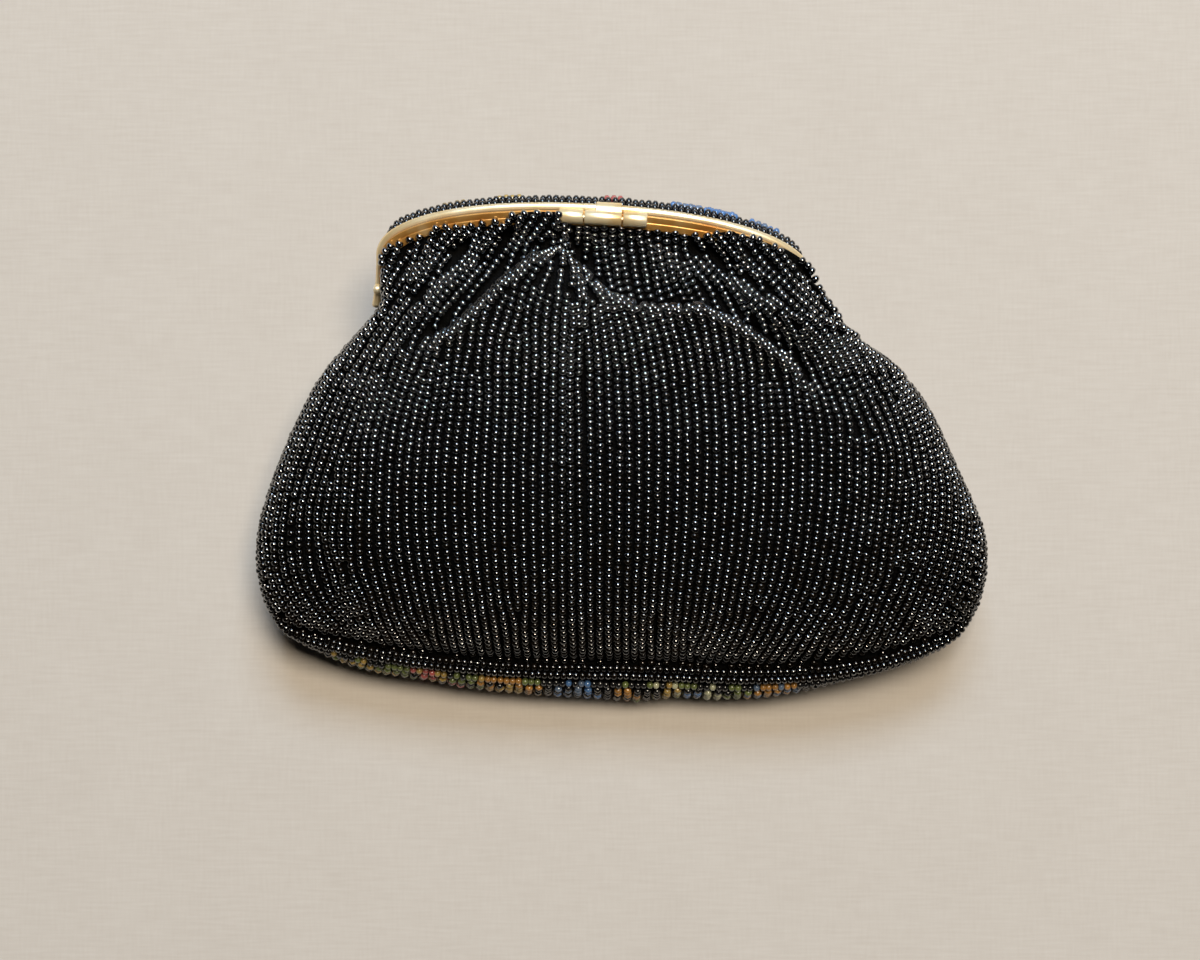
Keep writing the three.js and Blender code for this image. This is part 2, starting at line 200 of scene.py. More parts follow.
# How far each panel's edge stands from the rod's line. Along the mouth: frame x, inset, level.
# Beside the legs, at the corner, halfway down and at the end: inset, level.
backPanel = dict(
    mouth=((-48, 0.4, 3.2), (-46, 1.0, 2.8), (-44.5, 2.2, 2.0), (-40, 2.2, 2.0), (-37, 1.2, 2.6),
           (-34.5, 1.2, 2.6), (-31.5, 2.4, 1.9), (-27, 2.0, 2.1), (-22, 1.4, 2.3), (-17, -0.6, 3.1),
           (-14, -0.9, 3.2), (-7.5, -0.9, 3.2), (-5.5, 3.0, 1.6), (13, 3.0, 1.6), (15, 2.8, 1.6),
           (24, 2.6, 1.6), (29.5, -0.9, 3.2), (40, -1.2, 3.2), (44, -1.6, 3.8), (46, -2.1, 4.2),
           (48, -2.6, 4.4)),
    leftLeg=((0.4, 3.2), (0.4, 3.2), (0.4, 1.8)), rightLeg=((-2.6, 4.4), (-7.6, 4.8), (-12.2, 3.2)),
    height=19.5, crown=-0.16, roundAcross=2.4, roundDown=5.5, fullDown=0.66, rise=0.5, seamGap=0.15,
    bellyEnd=0.953, flange=2.4, flangeRound=60, flangeSide=30, flangeFrom=0.5, flangeFull=0.9,
    heldTop=0.07, heldLow=0.9, heldSide=8,
)
frontPanel = dict(
    mouth=((-48, 1, -5.4), (-44, -0.8, -5.4), (44, -0.8, -5.4), (48, 1, -5.4)),
    leftLeg=((1, -5.4), (1, -5.4), (1, -4)), rightLeg=((1, -5.4), (1, -5.4), (1, -4)),
    height=27.5, crown=0.0, roundAcross=2.2, roundDown=5, fullDown=0.5, rise=0.42, seamGap=0.15,
    lipReach=((0, 3), (0.06, 5), (0.1, 9), (0.15, 11.2), (0.2, 11), (0.25, 10.8), (0.29, 12.6), (0.36, 13.6),
              (0.43, 14.8), (0.5, 16.2), (0.55, 13.6), (0.59, 13.8), (0.64, 12.5), (0.71, 9), (0.74, 6.5),
              (0.8, 4), (1, 3)),
    lipRound=12, lipFrom=0.68, lipFull=0.93, sidePower=6,
)


def besideLeg(points, side, rows, down):
    # points moved off the rod's line by the inset and level between the table's rows, which end at none
    table = np.vstack([np.array(rows, float), np.zeros((sideSpans, 2))])
    place = down * sideSpans
    k = np.minimum(place.astype(int), len(table) - 2)
    share = (place - k)[..., None]
    inset, level = np.moveaxis(table[k] * (1 - share) + table[k + 1] * share, -1, 0)
    return points - side * inset[..., None] * acrossFrame + level[..., None] * throughFrame


def middleSheet(panel, across, down):
    # the surface that blends a panel's four edges: mouth, bottom, left and right
    zero, one = np.zeros(1), np.ones(1)

    def left(d):
        return besideLeg(seamAt(d * leftCorner), -1, panel["leftLeg"], d)

    def right(d):
        return besideLeg(seamAt(1 - d * (1 - rightCorner)), 1, panel["rightLeg"], d)

    def mouth(a):
        return mouthLine(a, panel["mouth"])

    def bottom(a):
        return seamAt(leftCorner + (rightCorner - leftCorner) * a)

    a, d = across[..., None], down[..., None]
    return (mouth(across) * (1 - d) + bottom(across) * d + left(down) * (1 - a) + right(down) * a
            - mouth(zero) * (1 - a) * (1 - d) - mouth(one) * a * (1 - d)
            - bottom(zero) * (1 - a) * d - bottom(one) * a * d)


def swell(panel, across, down):
    # a dome: the side's rounding under a square root, the bottom's under its own power, rising from the mouth
    u = 2 * across - 1 - panel["crown"]
    side = np.minimum(1, np.abs(u) / np.where(u < 0, 1 + panel["crown"], 1 - panel["crown"]))
    rounding = np.sqrt(1 - side ** panel["roundAcross"])
    rounding = rounding * np.maximum(0, 1 - down ** panel["roundDown"]) ** panel["fullDown"]
    return rounding * smooth(down, 0, panel["rise"])


# The tuck where the full belly folds over in front of the gathered neck: x, y, depth, belly width, neck width
tuck = np.array([
    (-49.7, 22.1, 0.0, 3.0, 4.0), (-39.7, 26.5, 3.8, 1.8, 4.8), (-34.2, 30.9, 5.0, 1.5, 5.4),
    (-27.5, 37.6, 5.2, 1.5, 5.4), (-20.9, 42.7, 4.2, 1.5, 4.4), (-13.8, 44.6, 2.2, 1.5, 3.2),
    (-7.6, 39.1, 4.2, 1.5, 5.2), (-2.7, 34.2, 5.2, 1.5, 6.2), (5.7, 31.6, 5.4, 1.5, 6.2),
    (16.7, 32.0, 5.0, 1.5, 5.4), (25.6, 28.1, 4.8, 1.6, 5.0), (36.6, 21.0, 3.6, 2.0, 4.8),
    (49.9, 7.7, 0.0, 3.5, 4.5),
])
# Smaller folds: from x, from y, to x, to y, depth, width
folds = np.array([
    (-46, 33, -36, 44, 2.2, 2.6), (17, 44, 31, 34, 2.4, 2.8), (-31, 41, -25, 47, 1.2, 1.8),
    (-72, -20, -66, -40, 1.4, 4.0), (59, -34, 68, -46, 1.4, 4.0), (8, -40, 5, -50, 0.7, 2.5),
])
# The belly's edge beside the tuck stands up and leans over it
tuckRim = dict(height=1.1, place=3.4, width=2.2, over=1.0, full=1.8, fade=3, gone=24, blend=2.0,
               least=0.5, fullDepth=4)
gathers = dict(count=8, depth=0.7, start=0.02, full=0.07, fade=0.14, gone=0.4)


def tuckPlace(x, y):
    # for each stretch of the tuck: the step from it to a place, its length, whether that is on the neck's
    # side, and the table's last three columns there
    p, q = tuck[:-1], tuck[1:]
    x, y = x[..., None], y[..., None]
    along = q[:, :2] - p[:, :2]
    length = np.linalg.norm(along, axis=1)
    t = np.clip(((x - p[:, 0]) * along[:, 0] + (y - p[:, 1]) * along[:, 1]) / length ** 2, 0, 1)
    dx, dy = x - p[:, 0] - t * along[:, 0], y - p[:, 1] - t * along[:, 1]
    neckSide = along[:, 0] * dy - along[:, 1] * dx > 0
    depth, belly, neck = (p[:, n] + t * (q - p)[:, n] for n in (2, 3, 4))
    return dx, dy, np.sqrt(dx ** 2 + dy ** 2), neckSide, depth, belly, neck


def tuckDepth(x, y):
    # the deepest of the tuck's stretches: a bell across each one, steeper on the belly's side,
    # less a low bell on that side for the rim
    far, neckSide, depth, belly, neck = tuckPlace(x, y)[2:]
    deepest = np.max(depth * np.exp(-(far / np.where(neckSide, neck, belly)) ** 2), axis=-1)
    rim = np.exp(-((far - tuckRim["place"]) / tuckRim["width"]) ** 2) * (depth > tuckRim["least"]) * ~neckSide
    rim = rim * smooth(depth, 0, tuckRim["fullDepth"])
    nearest = np.argmin(far, axis=-1)[..., None]
    return deepest - tuckRim["height"] * np.take_along_axis(rim, nearest, -1)[..., 0]


def tuckOver(x, y):
    # how the belly leans over the tuck in plan: towards the nearest stretches, most at the rim, none far off
    dx, dy, far, neckSide, depth = tuckPlace(x, y)[:5]
    reach = tuckRim["over"] * smooth(depth, 0, tuckRim["fullDepth"])
    reach = reach * smooth(far, 0, tuckRim["full"]) * ~neckSide
    reach = reach * (1 - smooth(far, tuckRim["fade"], tuckRim["gone"])) / np.maximum(far, 0.1)
    weight = np.exp(-(far - far.min(-1, keepdims=True)) / tuckRim["blend"])
    weight = weight / weight.sum(-1, keepdims=True)
    return -(reach * dx * weight).sum(-1), -(reach * dy * weight).sum(-1)


def foldDepth(x, y):
    # the sum of the folds: a bell across each line that turns into low banks beside it
    total = np.zeros_like(x)
    for fromX, fromY, toX, toY, depth, width in folds:
        ax, ay = toX - fromX, toY - fromY
        t = np.clip(((x - fromX) * ax + (y - fromY) * ay) / (ax * ax + ay * ay), 0, 1)
        q = ((x - fromX - t * ax) ** 2 + (y - fromY - t * ay) ** 2) / width ** 2
        total += depth * np.exp(-q) * (1 - 0.5 * q)
    return total


def gatherHeight(across, down):
    # a cosine across the mouth that comes in below it and fades
    strength = smooth(down, gathers["start"], gathers["full"])
    strength = strength * (1 - smooth(down, gathers["fade"], gathers["gone"]))
    return gathers["depth"] * strength * np.cos(2 * np.pi * gathers["count"] * across)


def backSurface(across, down, folded=True, over=True):
    # outer face of the back: the middle sheet, lifted by its dome, let in by its folds, flat beside the seam
    across, down = np.broadcast_arrays(np.asarray(across, float), np.asarray(down, float))
    point = middleSheet(backPanel, across, down)
    lift = backPanel["height"] * swell(backPanel, across, np.minimum(1, down / backPanel["bellyEnd"]))
    side = np.minimum(1, np.abs(2 * across - 1))
    edge = (1 - np.minimum(1, down) ** backPanel["flangeRound"]) * (1 - side ** backPanel["flangeSide"])
    full = smooth(down, backPanel["flangeFrom"], backPanel["flangeFull"])
    lift = lift + backPanel["flange"] * np.sqrt(edge) * full + backPanel["seamGap"]
    if folded:
        held = smooth(down, 0, backPanel["heldTop"]) * (1 - smooth(down, backPanel["heldLow"], 1))
        held = held * (1 - np.abs(2 * across - 1) ** backPanel["heldSide"])
        x, y = point[..., 0], point[..., 1]
        lift = lift + held * (gatherHeight(across, down) - tuckDepth(x, y) - foldDepth(x, y))
        if over:
            leanX, leanY = tuckOver(x, y)
            point[..., 0] += held * leanX
            point[..., 1] += held * leanY
    point[..., 2] += lift
    return point


def backPlain(across, down, folded=True):
    # the back without its belly's lean over the tuck, for the cloth and for laying the columns
    return backSurface(across, down, folded, False)


def frontSurface(across, down, folded=True):
    # outer face of the front: a fuller dome downwards, rolled out past the bottom and flat where it lies
    across, down = np.broadcast_arrays(np.asarray(across, float), np.asarray(down, float))
    point = middleSheet(frontPanel, across, down)
    inner = 1 - np.abs(2 * across - 1) ** frontPanel["sidePower"]
    roll = np.sqrt(1 - np.minimum(1, down) ** frontPanel["lipRound"])
    roll = roll * smooth(down, frontPanel["lipFrom"], frontPanel["lipFull"])
    point[..., 1] -= np.interp(across, *np.array(frontPanel["lipReach"]).T) * inner * roll
    drop = frontPanel["height"] * swell(frontPanel, across, down) + frontPanel["seamGap"]
    if folded:
        drop = drop + inner * gatherHeight(across, down)
    point[..., 2] = np.maximum(0, point[..., 2] - drop)
    return point


probe = dict(step=1.5e-3, across=(0.004, 0.996), down=(0.004, 0.994))  # shares of a panel


def outwardAt(surface, sign, across, down, folded=True):
    # unit normal from small steps along both parameters
    h = probe["step"]
    across, down = np.clip(across, *probe["across"]), np.clip(down, *probe["down"])
    alongA = surface(across + h, down, folded) - surface(across - h, down, folded)
    alongD = surface(across, down + h, folded) - surface(across, down - h, folded)
    return sign * unit(np.cross(alongD, alongA))


# Ground cloth under the beads: two faces a cloth's thickness apart, joined round the rim
cloth = dict(under=1.7, thickness=0.5, across=130, down=98, steepest=0.4, rim=0.008)


def clothPiece(name, surface, sign):
    # let down from the beads' outer face, farther where a fold is steep
    inset = cloth["rim"]
    a, d = np.meshgrid(np.linspace(inset, 1 - inset, cloth["across"]), np.linspace(inset, 1, cloth["down"]))
    face = surface(a, d)
    normal = outwardAt(surface, sign, a, d, folded=False)
    upright = (normal * outwardAt(surface, sign, a, d)).sum(-1, keepdims=True)
    outer = face - cloth["under"] / np.maximum(upright, cloth["steepest"]) * normal
    inner = outer - cloth["thickness"] * normal
    rows, columns = a.shape
    quads = gridFaces(rows, columns)
    index = np.arange(rows * columns).reshape(rows, columns)
    rim = np.concatenate([index[0, :-1], index[:-1, -1], index[-1, :0:-1], index[:0:-1, 0]])
    after = np.roll(rim, -1)
    wall = np.stack([rim, after, after + rows * columns, rim + rows * columns], -1)
    quads = np.vstack([quads, quads[:, ::-1] + rows * columns, wall])
    if sign < 0:
        quads = quads[:, ::-1]
    piece = addMesh(name, np.vstack([outer.reshape(-1, 3), inner.reshape(-1, 3)]), [quads])
    cell = np.cross(face[1:, :-1] - face[:-1, :-1], face[:-1, 1:] - face[:-1, :-1])
    return piece, np.linalg.norm(cell, axis=-1).sum() * mm * mm


# Seed beads: a short rounded barrel along its thread, with how much each one's place, turn and size vary
bead = dict(radius=0.97, length=1.38, pitch=1.47, column=2.2, neckColumn=1.95, longest=90,
            jitter=0.06, tilt=0.1, sizes=0.025, clear=1.03)


def barrel(sides, rings):
    # rings of (place along the thread, share of the radius), each end closed by one face
    place, share = np.array(rings).T
    angle = 2 * np.pi * (np.arange(sides) + 0.5) / sides
    x = np.repeat(place * bead["length"] / 2, sides)
    y = np.outer(share, np.cos(angle)).ravel() * bead["radius"]
    z = np.outer(share, np.sin(angle)).ravel() * bead["radius"]
    quads = gridFaces(len(place), sides, closed=True)
    return np.stack([x, y, z], -1), quads[:, ::-1], endFaces(len(place), sides)


fineBarrel = barrel(8, ((-1, 0.42), (-0.72, 0.86), (-0.28, 1), (0.28, 1), (0.72, 0.86), (1, 0.42)))
plainBarrel = barrel(6, ((-1, 0.5), (-0.45, 0.97), (0.45, 0.97), (1, 0.5)))


def strungBeads(name, shape, centres, along, normal, tint, colour=None):
    # one mesh of many beads: the barrel carried to each centre on its own axes
    corners, quads, ends = shape
    count, size = len(centres), len(corners)
    along = unit(along + dice.normal(0, bead["tilt"], along.shape))
    side = unit(np.cross(normal, along))
    up = np.cross(along, side)
    scale = (1 + dice.normal(0, bead["sizes"], count))[:, None, None]
    axes = np.stack([along, side, up], 1)
    points = centres[:, None, :] + np.einsum("vk,nkj->nvj", corners, axes) * scale
    shift = (np.arange(count) * size)[:, None, None]
    faces = [(quads[None] + shift).reshape(-1, 4), (ends[None] + shift).reshape(-1, ends.shape[1])]
    piece = addMesh(name, points, faces)
    # each bead's tint, which carries painted shade towards the purse's bottom
    mark(piece, "tint", np.repeat(tint, size))
    if colour is not None:
        layer = piece.data.attributes.new("beadColour", "FLOAT_COLOR", "POINT")
        opaque = np.column_stack([colour, np.ones(count)])
        layer.data.foreach_set("color", np.repeat(opaque, size, axis=0).ravel())
    return piece


# How columns are laid. A side's border goes from high to low between two shares of the way down. Beads count
# as beside each other within a window, a step along and a height; the rest is how columns spread and start.
laying = dict(borderShift=(0.42, 0.52), window=4.2, along=1.1, height=2.5, none=4.0, most=0.25, passes=14,
              batch=300, mouthEnds=(0.004, 0.996), mouthSamples=700, mouthDown=0.008, stagger=0.006)
# How near a growing column may come to another: from the mouth, from the level line and from bare spots.
# The back's columns are spread twice, and each time new bare spots are filled; the front's once.
filling = dict(mouth=1.5, level=1.3, spots=((1.9, 1.35), (1.7, 1.35)), shortest=4,
               backRounds=(18, 8), backSpots=((1.6, 1.3), (1.5, 1.25)), frontRounds=12)


class Lattice:
    # a panel sampled evenly across and down, with its slopes and each sample's distance from the edges
    def __init__(self, surface, across=321, down=241):
        self.across, self.down = np.linspace(0, 1, across), np.linspace(0, 1, down)
        a, d = np.meshgrid(self.across, self.down)
        points = surface(a, d)
        wide = np.linalg.norm(np.diff(points, axis=1), axis=-1)
        long = np.linalg.norm(np.diff(points, axis=0), axis=-1)
        self.left = np.hstack([np.zeros((down, 1)), np.cumsum(wide, axis=1)])
        self.right = self.left[:, -1:] - self.left
        self.top = np.vstack([np.zeros((1, across)), np.cumsum(long, axis=0)])
        self.bottom = self.top[-1:] - self.top
        slopes = np.gradient(points, self.down, self.across, axis=(0, 1))
        self.fields = np.concatenate([points, slopes[1], slopes[0]], axis=-1)

    def read(self, field, a, d):
        # between the four samples round a place, by its share of the way
        i, j = np.clip(d, 0, 1) * (len(self.down) - 1), np.clip(a, 0, 1) * (len(self.across) - 1)
        r, c = np.minimum(i.astype(int), len(self.down) - 2), np.minimum(j.astype(int), len(self.across) - 2)
        v, u = i - r, j - c
        if field.ndim == 3:
            v, u = v[:, None], u[:, None]
        upper = field[r, c] * (1 - u) + field[r, c + 1] * u
        lower = field[r + 1, c] * (1 - u) + field[r + 1, c + 1] * u
        return upper * (1 - v) + lower * v

    def slopesAt(self, a, d):
        # points, and how they change across and down
        return np.split(self.read(self.fields, a, d), 3, axis=1)

    def at(self, a, d):
        return self.slopesAt(a, d)[0]

    def inside(self, a, d, border):
        # border holds the distances kept from the mouth, the sides (high and low) and the bottom
        side = border["high"] + (border["low"] - border["high"]) * smooth(d, *laying["borderShift"])
        clear = np.minimum(self.read(self.left, a, d), self.read(self.right, a, d)) > side
        clear &= self.read(self.bottom, a, d) > border["bottom"]
        return clear & (self.read(self.top, a, d) > border["mouth"]) & (a > 0) & (a < 1) & (d > 0) & (d < 1)


# How the back's bead columns lean, in degrees from straight down: height, then x and lean across
leanRows = (
    (46, ((-50, -26), (-43, -28), (-38, -46), (-32, -46), (-28, -38), (-20, -39), (-15, -36), (-12, -10),
          (-9, -5), (-2, 5), (8, 6), (12, 14), (17, 35), (22, 45), (34, 50), (48, 50))),
    (36, ((-51, -35), (-42, -37), (-35, -30), (-30, -34), (-22, -35), (-18, -25), (-15.5, -8), (-13, 2),
          (-10.6, 8), (-7.5, 14), (-2, 15), (4, 11), (10, 20), (14, 25), (18, 34), (24, 40),
          (34, 48), (55, 48))),
    (29, ((-48, -35), (-38, -37), (-31, -26), (-24, -27), (-19, -14), (-15.5, -3), (-11, 4), (-7.4, 14),
          (-5, 21), (0, 28), (7, 27), (13, 20), (19, 22), (24, 25), (31, 42), (40, 48), (60, 45))),
    (22, ((-56, -37), (-48, -33), (-43, -26), (-38, -15), (-30, -9), (-24, -6), (-15, 0), (-9, 3), (-4, 11),
          (0, 15), (7, 16), (13, 12), (19, 13), (25, 16), (31, 21), (36, 30), (41, 42), (60, 42), (72, 45))),
    (12, ((-62, -30), (-50, -22), (-40, -12), (-31, -4), (-10, 0), (0, 4), (7, 8), (20, 8), (30, 9), (40, 12),
          (48, 18), (55, 36), (68, 38), (80, 30))),
    (0, ((-68, -20), (-58, -8), (-40, -5), (-10, 0), (20, 0), (45, 4), (62, 5), (70, 14), (80, 28))),
    (-14, ((-80, -10), (-66, -12), (-55, 0), (0, 0), (30, -3), (60, -5), (75, -5), (82, 8))),
    (-28, ((-70, 10), (-40, 7), (-20, 0), (0, -1), (20, -7), (40, -10), (60, -11), (76, -18))),
    (-37, ((-66, 35), (-56, 12), (-40, 8), (-20, 2), (0, 0), (16, -4), (24, -10), (32, -20), (44, -24),
           (60, -17), (74, -26))),
    (-46, ((-62, 50), (-50, 35), (-38, 5), (-20, 2), (12, 0), (18, -22), (30, -32), (50, -30), (62, -26),
           (74, -50))),
)


def leanAt(x, y):
    # between the table's places across, then between its heights
    heights = np.array([row[0] for row in leanRows])
    each = np.stack([np.interp(x, *np.array(row[1]).T) for row in leanRows])
    place = np.interp(-y, -heights, np.arange(len(heights)))
    k = np.minimum(place.astype(int), len(heights) - 2)
    pick = np.arange(len(x))
    return np.radians(each[k, pick] + (place - k) * (each[k + 1, pick] - each[k, pick]))


def backHeading(lattice, a, d):
    # one bead's step in across and down, so that its direction in plan is the lean
    here, alongA, alongD = lattice.slopesAt(a, d)
    lean = leanAt(here[:, 0], here[:, 1])
    wantX, wantY = np.sin(lean), -np.cos(lean)
    det = alongA[:, 0] * alongD[:, 1] - alongA[:, 1] * alongD[:, 0]
    det = np.where(np.abs(det) < 1e-6, 1e-6, det)
    da = (wantX * alongD[:, 1] - wantY * alongD[:, 0]) / det
    dd = (alongA[:, 0] * wantY - alongA[:, 1] * wantX) / det
    step = alongA * da[:, None] + alongD * dd[:, None]
    size = np.maximum(np.linalg.norm(step, axis=1), 1e-9)
    return da * bead["pitch"] / size, dd * bead["pitch"] / size, step / size[:, None]


def frontHeading(lattice, a, d):
    # straight from the mouth to the bottom
    alongD = lattice.slopesAt(a, d)[2]
    size = np.maximum(np.linalg.norm(alongD, axis=1), 1e-9)
    return 0 * a, bead["pitch"] / size, alongD / size[:, None]


tuckStop = dict(left=-10, right=27, below=0.9)


def pastTuck(x, y):
    # below the tuck where it crosses the columns
    low = y < np.interp(x, tuck[:, 0], tuck[:, 1]) - tuckStop["below"]
    return (x > tuckStop["left"]) & (x < tuckStop["right"]) & low


def distances(points, others):
    # from each point to each other one, by the squares less twice the product
    square = (points ** 2).sum(1)[:, None] + (others ** 2).sum(1) - 2 * points @ others.T
    return np.sqrt(np.maximum(square, 0))


class BeadWork:
    # bead columns laid on one panel: places across and down, their points and the column each belongs to
    def __init__(self, surface, heading, border, taken):
        self.lattice, self.heading, self.border = Lattice(surface), heading, border
        self.points, self.owner = taken, np.full(len(taken), -1)
        self.places, self.steps = np.zeros((0, 2)), np.zeros(0)

    def grow(self, seeds, closest, ways=(1, -1), stop=None):
        # a bead at a time, down and then up from each seed, until a column meets another one or an edge
        names = np.arange(len(seeds)) + self.owner.max() + 1
        rank = dice.permutation(len(seeds))
        for way in ways:
            a, d = seeds.T.copy()
            alive = np.ones(len(seeds), bool)
            for n in range(bead["longest"]):
                if n > 0 or way < 0:
                    da, dd, along = self.heading(self.lattice, a, d)
                    a, d = np.clip(a + way * da, 0, 1), np.clip(d + way * dd, 0, 1)
                here = self.lattice.at(a, d)
                alive &= self.lattice.inside(a, d, self.border)
                if stop is not None:
                    alive &= ~stop(here[:, 0], here[:, 1])
                gap = distances(here, self.points)
                gap[names[:, None] == self.owner] = 99
                alive &= gap.min(1) > closest
                rival = (distances(here, here) < closest) & alive & (rank > rank[:, None])
                alive &= ~rival.any(1)
                if not alive.any():
                    break
                self.places = np.vstack([self.places, np.column_stack([a, d])[alive]])
                self.points = np.vstack([self.points, here[alive]])
                self.owner = np.concatenate([self.owner, names[alive]])
                self.steps = np.concatenate([self.steps, np.full(alive.sum(), n if way > 0 else -1 - n)])

    def sideways(self, points, along, side, out, owner):
        # how far each bead should move sideways to stand midway between the columns beside it
        shift = np.zeros(len(points))
        inOrder = np.argsort(points[:, 0])
        x = points[inOrder, 0]
        for part in np.array_split(inOrder, max(1, len(points) // laying["batch"])):
            ends = (points[part[0], 0] - laying["window"], points[part[-1], 0] + laying["window"])
            near = inOrder[slice(*np.searchsorted(x, ends))]
            apart = points[near][None] - points[part][:, None]
            s, t, h = (np.einsum("ijk,ik->ij", apart, v[part]) for v in (side, along, out))
            beside = (np.abs(t) < laying["along"]) & (np.abs(h) < laying["height"])
            beside &= owner[near][None] != owner[part][:, None]
            right = np.where(beside & (s > 0), s, laying["none"]).min(1)
            left = np.where(beside & (s < 0), -s, laying["none"]).min(1)
            both = (right < laying["none"]) & (left < laying["none"])
            push = np.minimum(0, right - bead["column"]) - np.minimum(0, left - bead["column"])
            shift[part] = np.where(both, (right - left) / 2, push) / 2
        return np.clip(shift, -laying["most"], laying["most"])

    def settle(self, rounds):
        # columns spread until they are evenly apart: each bead goes sideways, smoothed along its column
        fixed = len(self.points) - len(self.places)
        self.take(np.lexsort((self.steps, self.owner[fixed:])))
        owner = self.owner[fixed:]
        same = (owner[1:] == owner[:-1]).astype(float)
        for n in range(rounds):
            a, d = self.places.T
            points, alongA, alongD = self.lattice.slopesAt(a, d)
            along = self.heading(self.lattice, a, d)[2]
            out = unit(np.cross(alongD, alongA))
            side = unit(np.cross(out, along))
            shift = self.sideways(points, along, side, out, owner)
            for k in range(laying["passes"]):
                total, weight = 2 * shift, np.full(len(shift), 2.0)
                total[1:] += same * shift[:-1]
                total[:-1] += same * shift[1:]
                weight[1:] += same
                weight[:-1] += same
                shift = total / weight
            aa, ad, dd = ((p * q).sum(1) for p, q in ((alongA, alongA), (alongA, alongD), (alongD, alongD)))
            goA, goD = (side * alongA).sum(1) * shift, (side * alongD).sum(1) * shift
            det = np.maximum(aa * dd - ad * ad, 1e-6)
            moved = np.column_stack([a + (dd * goA - ad * goD) / det, d + (aa * goD - ad * goA) / det])
            ok = self.lattice.inside(*moved.T, self.border)
            self.places[ok] = moved[ok]
        self.points[fixed:] = self.lattice.at(*self.places.T)

    def take(self, pick):
        # the columns' beads that are asked for, in that order
        fixed = len(self.points) - len(self.places)
        self.points = np.vstack([self.points[:fixed], self.points[fixed:][pick]])
        self.owner = np.append(self.owner[:fixed], self.owner[fixed:][pick])
        self.places, self.steps = self.places[pick], self.steps[pick]

    def dropShort(self, fewest):
        # columns of fewer beads than asked are taken off
        owner = self.owner[len(self.points) - len(self.places):]
        self.take(np.bincount(owner)[owner] >= fewest)

    def seedRow(self, height):
        # seeds a column apart along the level line at one height in plan, every second one half a bead on
        y = self.lattice.fields[..., 1]
        row = np.argmin(np.abs(y - height), axis=0)
        line = self.lattice.fields[row, np.arange(len(row)), :3]
        run = runAlong(line)
        stops = np.arange(1.0, run[-1], bead["column"])
        a, d = np.interp(stops, run, self.lattice.across), np.interp(stops, run, self.lattice.down[row])
        step = self.heading(self.lattice, a, d)[1]
        return np.column_stack([a, d + 0.5 * step * (np.arange(len(a)) % 2)])

    def mouthSeeds(self):
        # seeds along the mouth, a column apart across their lean, every second one half a bead on
        a = np.linspace(*laying["mouthEnds"], laying["mouthSamples"])
        line = self.lattice.at(a, np.full_like(a, laying["mouthDown"]))
        lean = leanAt(line[:, 0], line[:, 1])
        steps = np.linalg.norm(np.diff(line, axis=0), axis=1) * np.cos(lean[1:])
        count = np.concatenate([[0], np.cumsum(steps / bead["neckColumn"])])
        across = np.interp(np.arange(0.4, count[-1]), count, a)
        second = np.arange(len(across)) % 2
        return np.column_stack([across, laying["mouthDown"] + laying["stagger"] * second])

    def bareSpots(self, apart, across=150, down=110):
        # places farther than asked from every bead, thinned so that they keep the same distance
        a, d = (v.ravel() for v in np.meshgrid(np.linspace(0, 1, across), np.linspace(0, 1, down)))
        ok = self.lattice.inside(a, d, self.border)
        a, d = a[ok], d[ok]
        here = self.lattice.at(a, d)
        parts = np.array_split(here, 12)
        bare = np.concatenate([distances(part, self.points).min(1) > apart for part in parts])
        kept = []
        for n in dice.permutation(np.flatnonzero(bare)):
            if not kept or np.linalg.norm(here[kept] - here[n], axis=1).min() > apart:
                kept.append(n)
        return np.column_stack([a[kept], d[kept]])

    def fill(self, height, neck):
        # columns from the mouth and from the line at one height, then from what is still bare
        if neck:
            self.grow(self.mouthSeeds(), filling["mouth"], (1,), pastTuck)
        self.grow(self.seedRow(height), filling["level"])
        for apart, closest in filling["spots"]:
            self.grow(self.bareSpots(apart), closest)
        if neck:
            self.dropShort(filling["shortest"])
            for rounds, (apart, closest) in zip(filling["backRounds"], filling["backSpots"]):
                self.settle(rounds)
                self.grow(self.bareSpots(apart), closest)
        else:
            self.settle(filling["frontRounds"])
        return self.places.T


# Rows of beads along the edges: how the lattice is sampled for them, where high turns to low, their smoothing
edging = dict(rowStep=3, rowEnd=0.975, columnStep=2, columnEnds=(0.02, 0.98), shift=(0.5, 0.85), passes=6,
              first=0.7, plainest=4, plainPower=12)


def edgePath(lattice, high, low, startDown):
    # the line on a panel that keeps a distance from its sides, high and low, and from its bottom
    last = len(lattice.down) - 1
    rows = np.arange(int(startDown * last), int(edging["rowEnd"] * last), edging["rowStep"])
    offsets = high + (low - high) * smooth(lattice.down[rows], *edging["shift"])
    across, back = lattice.across, lattice.across[::-1]
    left = np.array([np.interp(o, lattice.left[r], across) for r, o in zip(rows, offsets)])
    right = np.array([np.interp(o, lattice.right[r, ::-1], back) for r, o in zip(rows, offsets)])
    start, end = (int(share * len(lattice.across)) for share in edging["columnEnds"])
    columns = np.arange(start, end, edging["columnStep"])
    under = np.array([np.interp(low, lattice.bottom[::-1, c], lattice.down[::-1]) for c in columns])
    across = np.concatenate([left, lattice.across[columns], right[::-1]])
    down = np.concatenate([lattice.down[rows], under, lattice.down[rows[::-1]]])
    return across, down


